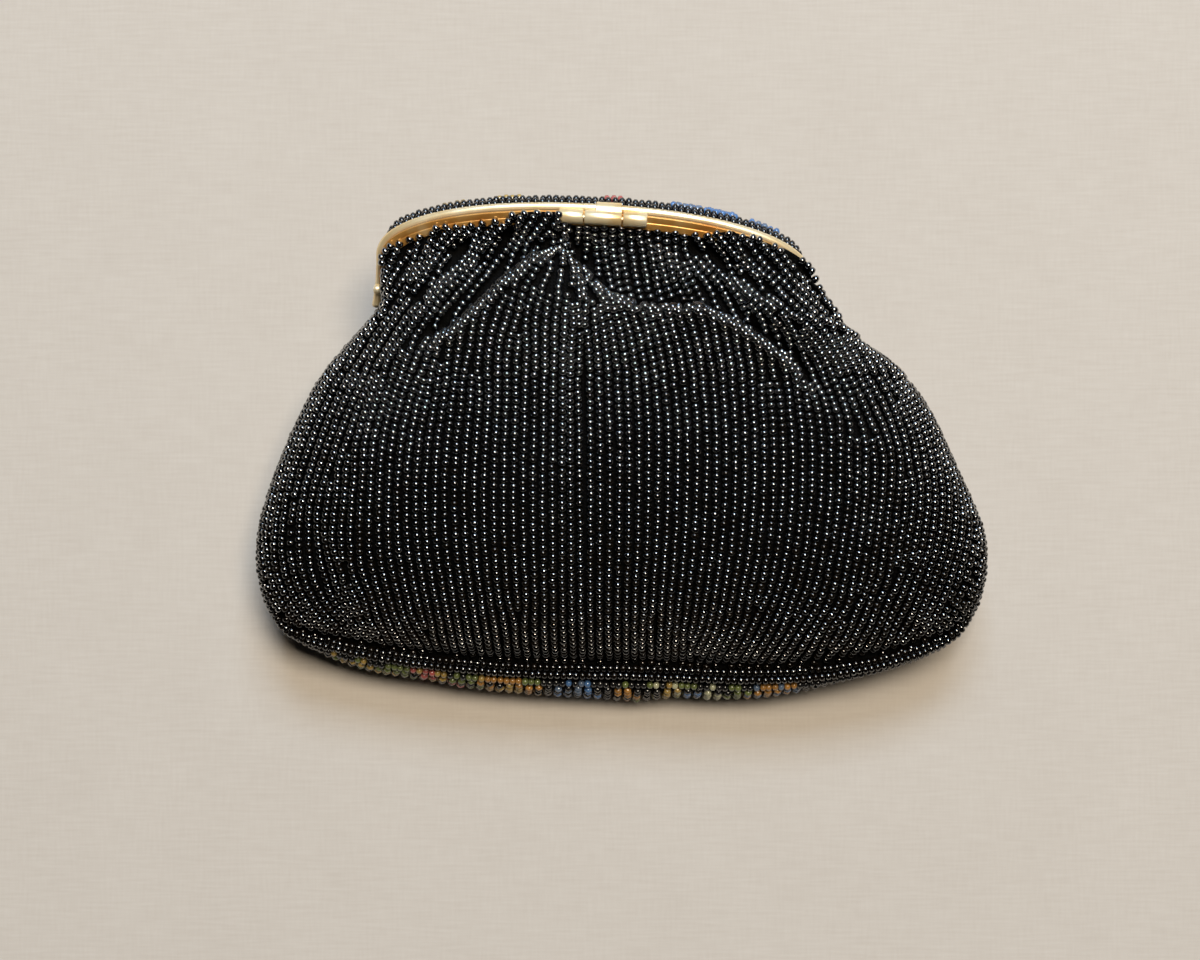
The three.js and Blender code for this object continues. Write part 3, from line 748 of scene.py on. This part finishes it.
def rowBeads(surface, sign, across, down, sink):
    # beads at equal steps along a line on a panel, with their own axes
    line = surface(across, down)
    normal = outwardAt(surface, sign, across, down, folded=False)
    for n in range(edging["passes"]):
        line[1:-1] = (line[:-2] + 2 * line[1:-1] + line[2:]) / 4
        normal[1:-1] = unit((normal[:-2] + 2 * normal[1:-1] + normal[2:]) / 4)
    run = runAlong(line)
    stops = np.arange(edging["first"], run[-1], bead["pitch"])
    tangent = np.gradient(line, run, axis=0)
    pick = [np.stack([np.interp(stops, run, v[:, n]) for n in range(3)], -1) for v in (line, tangent, normal)]
    centres, along, out = pick[0], unit(pick[1]), unit(pick[2])
    return centres - sink * out, along, out


def beadedPanel(surface, laid, sign, heading, border, height, neck, rows):
    # the rows along the edges first, then columns over all that is left; also each bead's row, -1 in a column
    seams = [rowBeads(surface, sign, *row) for row in rows]
    edge = np.vstack([centres + sink * out for (centres, along, out), (a, d, sink) in zip(seams, rows)])
    work = BeadWork(laid, heading, border, edge)
    a, d = work.fill(height, neck)
    # by the sides the normal is the unfolded one
    held = edging["plainest"] * np.abs(2 * a - 1)[:, None] ** edging["plainPower"]
    out = unit(outwardAt(surface, sign, a, d) + held * outwardAt(surface, sign, a, d, folded=False))
    centres = np.vstack([surface(a, d) - bead["radius"] * out, *(row[0] for row in seams)])
    along = np.vstack([heading(work.lattice, a, d)[2], *(row[1] for row in seams)])
    out = np.vstack([out, *(row[2] for row in seams)])
    centres = centres + dice.normal(0, bead["jitter"], centres.shape)
    centres[:, 2] = np.maximum(centres[:, 2], bead["radius"] * bead["clear"])
    print("beads", len(a), "in columns and", len(centres) - len(a), "in rows")
    rowOf = np.repeat(np.arange(-1, len(seams)), [len(a), *(len(row[0]) for row in seams)])
    return centres, along, out, rowOf


# Each panel's edge rows (distance from the side high and low, and the start down), the border that columns
# keep, and the height of the line that they start from
backEdge = dict(rows=((0.9, 2.3, 0.004), (3.1, 4.5, 0.5)), height=-8.0,
                border=dict(mouth=0.2, high=1.5, low=3.8, bottom=4.9))
frontEdge = dict(row=(0.9, 0.9, 0.16), height=-8.0, border=dict(mouth=0.5, high=1.2, low=1.8, bottom=1.8),
                 mouthEnds=(0.01, 0.99), mouthSamples=240, mouthDown=0.004, sinks=(1.7, 3.4), rimSamples=24)


def backBeads():
    # two rows along the sides and bottom, and columns between them
    lattice = Lattice(backPlain)
    rows = [(*edgePath(lattice, *place), bead["radius"]) for place in backEdge["rows"]]
    return beadedPanel(backSurface, backPlain, 1, backHeading, backEdge["border"], backEdge["height"],
                       True, rows)


# Coloured beads that stand out past the mouth's black edge: from and to frame x, down, sink, colour
rimBeads = (
    (-34, -29, 0.012, 0.3, "gold"), (-22, -16, 0.012, 0.1, "gold"), (1.5, 6.4, 0.012, -0.6, "rose"),
    (2, 5, 0.02, 0.3, "rose"), (16, 30, 0.012, -0.5, "blue"), (17, 22, 0.004, 0.6, "slate"),
    (24, 31, 0.004, 0.5, "blue"), (33.6, 40, 0.012, -0.6, "blue"), (35, 38, 0.004, 0.4, "slate"),
)


def frontBeads():
    # two rows along the mouth, one along the sides and bottom, the coloured ones, and columns between them
    lattice = Lattice(frontSurface)
    along = np.linspace(*frontEdge["mouthEnds"], frontEdge["mouthSamples"])
    rows = [(along, np.full_like(along, frontEdge["mouthDown"]), sink) for sink in frontEdge["sinks"]]
    rows.append((*edgePath(lattice, *frontEdge["row"]), bead["radius"]))
    for start, end, down, sink, name in rimBeads:
        x = np.linspace(start, end, frontEdge["rimSamples"])
        rows.append((np.interp(x, archLine(archShare, 0, 0, 0)[:, 0], archRun), np.full_like(x, down), sink))
    return beadedPanel(frontSurface, frontSurface, -1, frontHeading, frontEdge["border"], frontEdge["height"],
                       False, rows)


# The flowered front: x, y of a flower's middle in plan, its radius, petals, colour and heart
flowers = [
    (-62, -54, 9, 5, "gold", "green"), (-45, -57, 9, 6, "rose", "gold"), (-27, -58, 9, 5, "amber", "gold"),
    (-11, -58, 6, 6, "blue", "slate"), (1, -59, 3, 5, "amber", "amber"), (11, -58, 5, 5, "pale", "gold"),
    (21, -58, 7, 6, "blue", "pale"), (34, -57, 8, 5, "slate", "amber"), (-32, 53, 8, 5, "gold", "amber"),
    (-3, 57, 4, 6, "rose", "rose"), (16, 54, 7, 6, "blue", "blue"), (30, 51, 4, 5, "blue", "slate"),
    (-34, -8, 15, 6, "rose", "gold"), (2, 0, 18, 8, "blue", "gold"), (38, -10, 15, 6, "amber", "rose"),
    (-12, 22, 10, 5, "pale", "amber"), (24, 20, 9, 5, "rose", "gold"), (-58, -20, 9, 5, "blue", "gold"),
    (60, -26, 10, 5, "rose", "gold"), (-30, -34, 10, 6, "amber", "green"), (18, -32, 9, 5, "pale", "rose"),
]
beadColours = dict(
    black=(0.004, 0.004, 0.005), gold=(0.48, 0.32, 0.08), green=(0.16, 0.20, 0.06), rose=(0.50, 0.12, 0.11),
    amber=(0.50, 0.24, 0.05), blue=(0.08, 0.20, 0.46), pale=(0.54, 0.55, 0.36), slate=(0.13, 0.19, 0.30),
)


# Shares of a flower's radius for leaves, petals and heart, and shares of beads in another colour
bloom = dict(leaf=1.45, leafEdge=0.72, petal=0.72, wave=0.28, heart=0.3, mixed=0.28, black=0.22)


def flowerColour(points, rowOf):
    # petals where the distance from a flower's middle is under a waved radius; leaves beside it
    x, y = points[:, 0], points[:, 1]
    colour = np.tile(np.array(beadColours["black"]), (len(points), 1))
    for cx, cy, radius, petals, petalName, heartName in flowers:
        dx, dy = x - cx, y - cy
        r, angle = np.hypot(dx, dy), np.arctan2(dy, dx)
        leaf = (r < radius * bloom["leaf"]) & (np.cos(3 * angle + cx) > bloom["leafEdge"])
        petal = r < radius * (bloom["petal"] + bloom["wave"] * np.cos(petals * angle))
        colour[leaf] = beadColours["green"]
        colour[petal] = beadColours[petalName]
        colour[petal & (dice.random(len(x)) < bloom["mixed"])] = beadColours[heartName]
        colour[r < radius * bloom["heart"]] = beadColours[heartName]
    colour[dice.random(len(colour)) < bloom["black"]] = beadColours["black"]
    colour[(rowOf == 0) | (rowOf == 1)] = beadColours["black"]
    for n, (start, end, down, sink, name) in enumerate(rimBeads):
        colour[rowOf == rowOf.max() + 1 - len(rimBeads) + n] = beadColours[name]
    return colour


# Gilt frame: a path's tube, or a profile turned round the clasp's line
rod = dict(radius=1.0, level=-1.2, steps=220, sides=18, endSteps=4, endFrom=0.12, cap=0.5, stripCap=0.3)
strip = dict(inset=2.4, width=1.8, level=0.7, thickness=1.0, leg=8.4, corner=0.28)
channel = dict(inset=0.85, width=1.7, level=0.7, thickness=0.6, leg=6.0, corner=0.15)
clasp = dict(offset=1.6, length=19.4, middle=8.2, radius=1.6, hole=0.7, below=0.9, level=1.5, sides=36,
             gap=0.3, edge=0.22, bevel=0.4)
hook = dict(width=5.6, offset=1.2, clear=0.12, thickness=0.32, over=30, steps=7, edge=0.1, bevel=0.02,
            start=25, end=40, foot=0.9, sunk=0.03)
hinge = dict(drop=8.0, radius=1.0, thickness=0.9, hole=0.62, edge=0.15)
# A rivet along its line, from inside the purse: place from the leg's middle and radius
rivet = ((-2.62, 0.55), (-2.55, 0.8), (-2.43, 0.8), (-2.43, 0.54), (1.02, 0.54), (1.02, 0.75), (1.06, 0.75),
         (1.1, 0.55))


def sweep(line, section, rounded):
    # a section carried along a line in the frame's plane; its ends close in a rounded cap
    tangent = unit(np.gradient(line, axis=0))
    inPlane = np.stack([tangent[:, 1], -tangent[:, 0], 0 * tangent[:, 0]], -1)
    through = np.array([0, 0, 1.0])
    size = np.ones(len(line))
    angle = np.linspace(rod["endFrom"], np.pi / 2, rod["endSteps"])
    reach = rounded * np.cos(angle)[:, None]
    start, end = line[0] - reach * tangent[0], line[-1] + reach * tangent[-1]
    line = np.vstack([start, line, end[::-1]])
    size = np.concatenate([np.sin(angle), size, np.sin(angle)[::-1]])
    caps = len(angle)
    inPlane = np.vstack([np.repeat(inPlane[:1], caps, 0), inPlane, np.repeat(inPlane[-1:], caps, 0)])
    ring = section[None, :, 0, None] * inPlane[:, None] + section[None, :, 1, None] * through
    points = line[:, None] + ring * size[:, None, None]
    rows, sides = points.shape[:2]
    quads = gridFaces(rows, sides, closed=True)[:, ::-1]
    return inFrame(points.reshape(-1, 3)), quads, endFaces(rows, sides)[:, ::-1]


def turned(profile, y, z):
    # a closed profile of (x, radius) turned about a line along X in the frame's axes
    x, r = np.array(profile).T
    angle = turnsOf(clasp["sides"])
    rows, sides = len(x), len(angle)
    up, through = np.outer(r, np.cos(angle)).ravel(), np.outer(r, np.sin(angle)).ravel()
    points = np.stack([np.repeat(x, sides), y + up, z + through], -1)
    i, j = np.meshgrid(np.arange(rows), np.arange(sides), indexing="ij")
    ahead, k = (i + 1) % rows, (j + 1) % sides
    quads = np.stack([i * sides + j, i * sides + k, ahead * sides + k, ahead * sides + j], -1).reshape(-1, 4)
    return inFrame(points), quads


def ringProfile(start, end, radius, hole, edge):
    # a ring's outline as (x, radius) with its outer corners rounded
    near = edge * clasp["bevel"]
    return [(start, hole), (start, radius - edge), (start + near, radius - near), (start + edge, radius),
            (end - edge, radius), (end - near, radius - near), (end, radius - edge), (end, hole)]


def joined(name, parts, amber=0):
    # several closed shapes as one mesh; the first ones asked for are marked as amber, which gives them the
    # painted shade and painted reflection of the channel behind the rod
    points, faces, shift = [], {}, 0
    for part in parts:
        points.append(part[0])
        for group in part[1:]:
            faces.setdefault(group.shape[1], []).append(group + shift)
        shift += len(part[0])
    piece = addMesh(name, np.vstack(points), [np.vstack(group) for group in faces.values()])
    marks = np.concatenate([np.full(len(p), float(n < amber)) for n, p in enumerate(points)])
    mark(piece, "amber", marks)
    return piece


def boxSection(width, thickness, corner):
    # a rectangle with rounded corners
    w, h = width / 2 - corner, thickness / 2 - corner
    angle = np.linspace(0, np.pi / 2, 4)
    quarter = np.stack([np.cos(angle), np.sin(angle)], -1) * corner
    turns = [np.array([[c, -s], [s, c]]) for c, s in ((1, 0), (0, 1), (-1, 0), (0, -1))]
    middles = ((w, h), (-w, h), (-w, -h), (w, -h))
    return np.vstack([quarter @ turn.T + np.array(m) for turn, m in zip(turns, middles)])


def eye(side, near, far):
    # the ring that a rivet goes through, between two distances from a leg's middle
    x = legOut(hinge["drop"])
    start, end = sorted((side * (x - near), side * (x - far)))
    return turned(ringProfile(start, end, hinge["radius"], hinge["hole"], hinge["edge"]), -hinge["drop"], 0)


def frontRod():
    # a round section along the arch and its legs, with an eye on each leg
    t = np.linspace(0, 1, rod["steps"])
    angle = turnsOf(rod["sides"])
    circle = np.stack([np.cos(angle), np.sin(angle)], -1) * rod["radius"]
    tube = sweep(archLine(t, 0, rod["level"], mouthFrame["leg"]), circle, rod["cap"])
    eyes = [eye(side, -rod["radius"], hinge["thickness"] / 2) for side in (-1, 1)]
    return joined("front_rod", [tube, *eyes])


def hingeRivet(name, side):
    # rings along the rivet's line, closed by a face at each end
    x = legOut(hinge["drop"])
    place, radius = np.array(rivet).T
    angle = side * turnsOf(rod["sides"])
    up, through = np.outer(radius, np.cos(angle)), np.outer(radius, np.sin(angle))
    across = np.repeat(side * (x + place), rod["sides"])
    points = np.stack([across, up.ravel() - hinge["drop"], through.ravel()], -1)
    quads = gridFaces(len(place), rod["sides"], closed=True)[:, ::-1]
    return addMesh(name, inFrame(points), [quads, endFaces(len(place), rod["sides"])])


claspY, claspZ = mouthFrame["rise"] - clasp["below"], clasp["level"]
claspStart, claspEnd = clasp["offset"] - clasp["length"] / 2, clasp["offset"] + clasp["length"] / 2
middleStart, middleEnd = clasp["offset"] - clasp["middle"] / 2, clasp["offset"] + clasp["middle"] / 2


def knuckle(start, end):
    # a ring on the clasp's line
    return turned(ringProfile(start, end, clasp["radius"], clasp["hole"], clasp["edge"]), claspY, claspZ)


def backStrip():
    # two flat bands along the arch, with an eye on each leg and the clasp's outer knuckles
    t = np.linspace(0, 1, rod["steps"])
    bands = []
    for band in (strip, channel):
        section = boxSection(band["width"], band["thickness"], band["corner"])
        bands.append(sweep(archLine(t, band["inset"], band["level"], band["leg"]), section, rod["stripCap"]))
    near = strip["inset"] - strip["width"] / 2
    eyes = [eye(side, near, near + hinge["thickness"]) for side in (-1, 1)]
    outer = [knuckle(claspStart, middleStart - clasp["gap"]), knuckle(middleEnd + clasp["gap"], claspEnd)]
    # the two bands behind the rod are marked amber for their painted channel shade
    return joined("back_strip", [*bands, *eyes, *outer], amber=len(bands))


def hookOutline():
    # the hook's side view as (through, up): off the knuckle, round the rod past its crest, and back under
    far = np.radians(np.linspace(hook["start"], -hook["over"], hook["steps"]))
    back = np.radians(np.linspace(-hook["over"], hook["end"], hook["steps"]))
    inner = rod["radius"] + hook["clear"]
    outer = inner + hook["thickness"]
    turns = np.concatenate([far, back])
    radius = np.repeat([outer, inner], hook["steps"])
    through, up = rod["level"] + radius * np.sin(turns), mouthFrame["rise"] + radius * np.cos(turns)
    foot = [(claspZ - hook["foot"], claspY + hook["foot"]), (claspZ, claspY + hook["foot"]),
            (claspZ, claspY + clasp["radius"] - hook["sunk"])]
    return np.vstack([np.column_stack([through, up]), foot])


def claspHook():
    # the side view carried across, a little smaller at both ends, with the middle knuckle
    outline = hookOutline()
    start = clasp["offset"] + hook["offset"] - hook["width"] / 2
    inner = outline + (outline.mean(0) - outline) * hook["bevel"]
    xs = (start, start + hook["edge"], start + hook["width"] - hook["edge"], start + hook["width"])
    rings = [np.column_stack([np.full(len(o), x), o[:, 1], o[:, 0]])
             for x, o in zip(xs, (inner, outline, outline, inner))]
    sides = len(outline)
    rows = len(rings)
    plate = (inFrame(np.vstack(rings)), gridFaces(rows, sides, closed=True), endFaces(rows, sides))
    return joined("hook", [knuckle(middleStart, middleEnd), plate])


# Materials
class Socket:
    # a node's output; arithmetic on it adds Math nodes
    def __init__(self, maker, out):
        self.maker, self.out = maker, out

    def math(self, operation, first, second):
        return self.maker.node("ShaderNodeMath", {"operation": operation}, {0: first, 1: second})

    def __add__(self, other):
        return self.math("ADD", self, other)

    def __radd__(self, other):
        return self.math("ADD", other, self)

    def __rsub__(self, other):
        return self.math("SUBTRACT", other, self)

    def __mul__(self, other):
        return self.math("MULTIPLY", self, other)

    def __rmul__(self, other):
        return self.math("MULTIPLY", other, self)


class Finish:
    # a material whose nodes are made by its methods; names of sockets have _ for a space
    def __init__(self, name, **constants):
        self.material = bpy.data.materials.new(name)
        self.material.use_nodes = True
        self.tree = self.material.node_tree
        self.shader = self.tree.nodes["Principled BSDF"]
        for key, value in constants.items():
            self.shader.inputs[key.replace("_", " ")].default_value = value

    def node(self, kind, settings=None, sockets=None, output=0):
        made = self.tree.nodes.new(kind)
        for key, value in (settings or {}).items():
            if key == "stops":
                ramp = made.color_ramp.elements
                while len(ramp) < len(value):
                    ramp.new(0.5)
                for element, (place, shade) in zip(ramp, value):
                    element.position, element.color = place, shade
            else:
                setattr(made, key, value)
        for key, value in (sockets or {}).items():
            if isinstance(value, Socket):
                self.tree.links.new(value.out, made.inputs[key])
            else:
                made.inputs[key].default_value = value
        return Socket(self, made.outputs[output])

    def place(self):
        return self.node("ShaderNodeTexCoord", output="Object")

    def noise(self, scale, detail=3.0, vector=None):
        where = vector or self.place()
        return self.node("ShaderNodeTexNoise", {}, {"Vector": where, "Scale": scale, "Detail": detail})

    def attribute(self, name, output="Fac"):
        return self.node("ShaderNodeAttribute", {"attribute_name": name}, output=output)

    def ramp(self, value, *stops):
        return self.node("ShaderNodeValToRGB", {"stops": stops}, {"Fac": value})

    def mix(self, share, first, second):
        return self.node("ShaderNodeMix", {"data_type": "RGBA"}, {0: share, 6: first, 7: second}, output=2)

    def feed(self, **links):
        for key, value in links.items():
            self.tree.links.new(value.out, self.shader.inputs[key.replace("_", " ")])

    def bump(self, height, strength, distance):
        sockets = {"Height": height, "Strength": strength, "Distance": distance}
        self.feed(Normal=self.node("ShaderNodeBump", {}, sockets))


def blackGlass():
    # black glass: each bead its own tint, from blue-black to brown-black, and less gloss the browner it is;
    # the blue-black high up is painted cool reflection, the brown-black and the fading coat low down are
    # painted warm reflection and painted shade, and the random part of the tint is the glass's own tone
    f = Finish("black_glass", IOR=1.5, Coat_IOR=2.5, Coat_Roughness=0.06)
    tint = f.attribute("tint")
    patch = f.noise(60.0, 2.0)
    shade = f.ramp(tint * 0.8 + patch * 0.3, (0.15, (0.0008, 0.001, 0.0017, 1)),
                   (0.55, (0.0007, 0.0007, 0.0007, 1)), (0.95, (0.004, 0.0025, 0.0012, 1)))
    # the coat's gloss fades with the tint towards the bottom: painted shade on the lower beads' highlights
    f.feed(Base_Color=shade, Roughness=0.1 + 0.1 * tint, Coat_Weight=1.15 - 1.4 * tint)
    return f.material


def flowerGlass():
    # each bead its own colour, darkened and dulled by its tint, which is painted shade where the tint rises
    # towards the bottom
    f = Finish("flower_glass", IOR=1.8)
    tint = f.attribute("tint")
    colour = f.attribute("beadColour", "Color")
    f.feed(Base_Color=f.mix(tint * 0.4, colour, (0.02, 0.02, 0.02, 1)), Roughness=0.14 + 0.12 * tint)
    return f.material


def blackCloth():
    # fine plain weave: two crossed waves
    f = Finish("black_cloth", Specular_IOR_Level=0.05)
    where = f.place()
    threads = [f.node("ShaderNodeTexWave", {"bands_direction": way},
                      {"Vector": where, "Scale": 420.0, "Distortion": 0.6}) for way in ("X", "Y")]
    weave = threads[0] * threads[1]
    f.feed(Base_Color=f.ramp(weave, (0.0, (0.001, 0.001, 0.001, 1)), (1.0, (0.003, 0.003, 0.003, 1))),
           Roughness=0.75 + 0.15 * weave)
    f.bump(weave, 0.4, 0.0002)
    return f.material


def gilt():
    # polished gilt: cream to amber, duller and browner where it is worn; the amber on the bands behind the
    # rod is painted shade and painted reflection of the channel
    f = Finish("gilt", Metallic=0.55)
    worn = f.noise(140.0, 4.0)
    fine = f.noise(900.0, 3.0)
    pale = f.ramp(worn, (0.28, (0.86, 0.60, 0.28, 1)), (0.46, (0.96, 0.77, 0.46, 1)),
                  (0.70, (0.99, 0.86, 0.60, 1)))
    amber = f.ramp(worn, (0.30, (0.50, 0.17, 0.02, 1)), (0.52, (0.63, 0.32, 0.08, 1)),
                   (0.70, (0.76, 0.50, 0.22, 1)))
    # the bands behind the rod get the amber copy: painted shade and painted reflection in the channel
    shade = f.mix(f.attribute("amber"), pale, amber)
    f.feed(Base_Color=shade, Roughness=0.24 + 0.14 * worn + 0.05 * fine)
    f.bump(fine * 0.4 + worn, 0.12, 0.0001)
    return f.material


def paleLinen():
    # fine weave: streaks along both threads, the ones across stronger
    f = Finish("pale_linen", Specular_IOR_Level=0.1)
    streaks = [f.noise(1.0, 4.0, f.node("ShaderNodeMapping", {}, {"Vector": f.place(), "Scale": scale}))
               for scale in ((110.0, 1500.0, 1.0), (1500.0, 160.0, 1.0))]
    shade = streaks[0] * 0.5 + streaks[1] * 0.3 + f.noise(45.0, 6.0) * 0.2
    f.feed(Base_Color=f.ramp(shade, (0.3, (0.492, 0.447, 0.40, 1)), (0.7, (0.552, 0.511, 0.464, 1))),
           Roughness=0.85 + 0.1 * shade)
    return f.material


glassMaterial, flowerMaterial, clothMaterial, giltMaterial = blackGlass(), flowerGlass(), blackCloth(), gilt()


def dress(piece, material, body="purse"):
    # a piece's material in its one slot, and the body it goes with
    piece.data.materials.clear()
    piece.data.materials.append(material)
    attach(piece, body)
    return piece


# Build: cloth, beads, frame
backCloth, backArea = clothPiece("back_cloth", backPlain, 1)
frontCloth, frontArea = clothPiece("front_cloth", frontSurface, -1)
dress(backCloth, clothMaterial)
dress(frontCloth, clothMaterial)
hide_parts("back_panel")
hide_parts("front_panel")
print("cloth", round(backArea, 5), round(frontArea, 5))


# A bead's tint goes up from the mouth to the bottom, which is painted shade and painted warm reflection low
# on the purse, and varies at random, which is the glass's own tone
tintAndShading = dict(top=30, bottom=-45, least=0.15, shadeGain=0.5, spread=0.16)


def beadPieces(stem, shape, made, material, parts, colour=None):
    # one mesh for each share of the beads, from left to right
    centres, along, out = made[:3]
    edges = np.quantile(centres[:, 0], np.linspace(0, 1, parts + 1))
    share = np.clip(np.searchsorted(edges, centres[:, 0], side="right") - 1, 0, parts - 1)
    # the share of the way down: the lower a bead, the more painted shade its tint carries
    low = smooth(-centres[:, 1], -tintAndShading["top"], -tintAndShading["bottom"])
    varied = dice.normal(0, tintAndShading["spread"], len(centres))
    tint = np.clip(tintAndShading["least"] + tintAndShading["shadeGain"] * low + varied, 0, 1)
    pieces = []
    for n in range(parts):
        pick = share == n
        piece = strungBeads(f"{stem}_{n + 1}", shape, centres[pick], along[pick], out[pick], tint[pick],
                            None if colour is None else colour[pick])
        pieces.append(dress(piece, material))
    return pieces


backMade = backBeads()
backPieces = beadPieces("back_beads", fineBarrel, backMade, glassMaterial, 4)
frontMade = frontBeads()
frontPieces = beadPieces("front_beads", plainBarrel, frontMade, flowerMaterial, 2,
                         flowerColour(frontMade[0], frontMade[3]))

framePieces = ((frontRod(), "front_frame", "purse"), (backStrip(), "back_frame", "purse"),
               (claspHook(), "clasp_hook", "hook"),
               (hingeRivet("rivet_left", -1), "hinge_rivet_left", "purse"),
               (hingeRivet("rivet_right", 1), "hinge_rivet_right", "purse"))
for piece, node, body in framePieces:
    dress(piece, giltMaterial, body)
    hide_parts(node)
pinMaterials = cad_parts["clasp_pin"].data.materials
pinMaterials.clear()
pinMaterials.append(giltMaterial)
triangles = [sum(len(p.vertices) - 2 for p in o.data.polygons) for o in bpy.data.objects if o.type == "MESH"]
print("triangles", sum(triangles), "most", max(triangles))

# Floor, camera and light
view = dict(place=(-5.4, -6.3, 500.0), pixels=2069.0, width=1200.0, sensor=36.0)
floorHalf, floorDrop = 2500.0, 0.02
floor = addMesh("floor", [(-floorHalf, -floorHalf, -floorDrop), (floorHalf, -floorHalf, -floorDrop),
                          (floorHalf, floorHalf, -floorDrop), (-floorHalf, floorHalf, -floorDrop)],
                [np.array([[0, 1, 2, 3]])], soft=False)
floor.data.materials.append(paleLinen())

lens = bpy.data.cameras.new("camera")
lens.sensor_width = view["sensor"]
lens.lens = view["pixels"] / view["width"] * view["sensor"]
lens.clip_start = 0.01
bpy.context.scene.camera = addObject("camera", lens, view["place"])

# name, place and aim in mm, size in mm, power, colour
lamps = [
    ("lamp", (300, 620, 2050), (0, 0, 20), (980, 600), 48.2, (1.0, 0.88, 0.71)),
    ("window", (80, 1470, 1580), (0, 0, 20), (1000, 700), 33.9, (0.56, 0.76, 1.0)),
]
for name, place, aim, size, power, colour in lamps:
    lamp = bpy.data.lights.new(name, "AREA")
    lamp.shape = "RECTANGLE"
    lamp.size, lamp.size_y = size[0] * mm, size[1] * mm
    lamp.energy, lamp.color = power, colour
    holder = addObject(name, lamp, place)
    back = np.array(place, float) - np.array(aim, float)
    holder.rotation_mode = "XYZ"
    pitch, turn = np.arctan2(np.hypot(back[0], back[1]), back[2]), np.arctan2(back[0], -back[1])
    holder.rotation_euler = (pitch, 0, turn)

sky = bpy.data.worlds.new("room")
sky.use_nodes = True
sky.node_tree.nodes["Background"].inputs["Color"].default_value = (0.97, 0.98, 1.0, 1)
sky.node_tree.nodes["Background"].inputs["Strength"].default_value = 0.006
bpy.context.scene.world = sky
bpy.context.scene.view_settings.view_transform = "Standard"
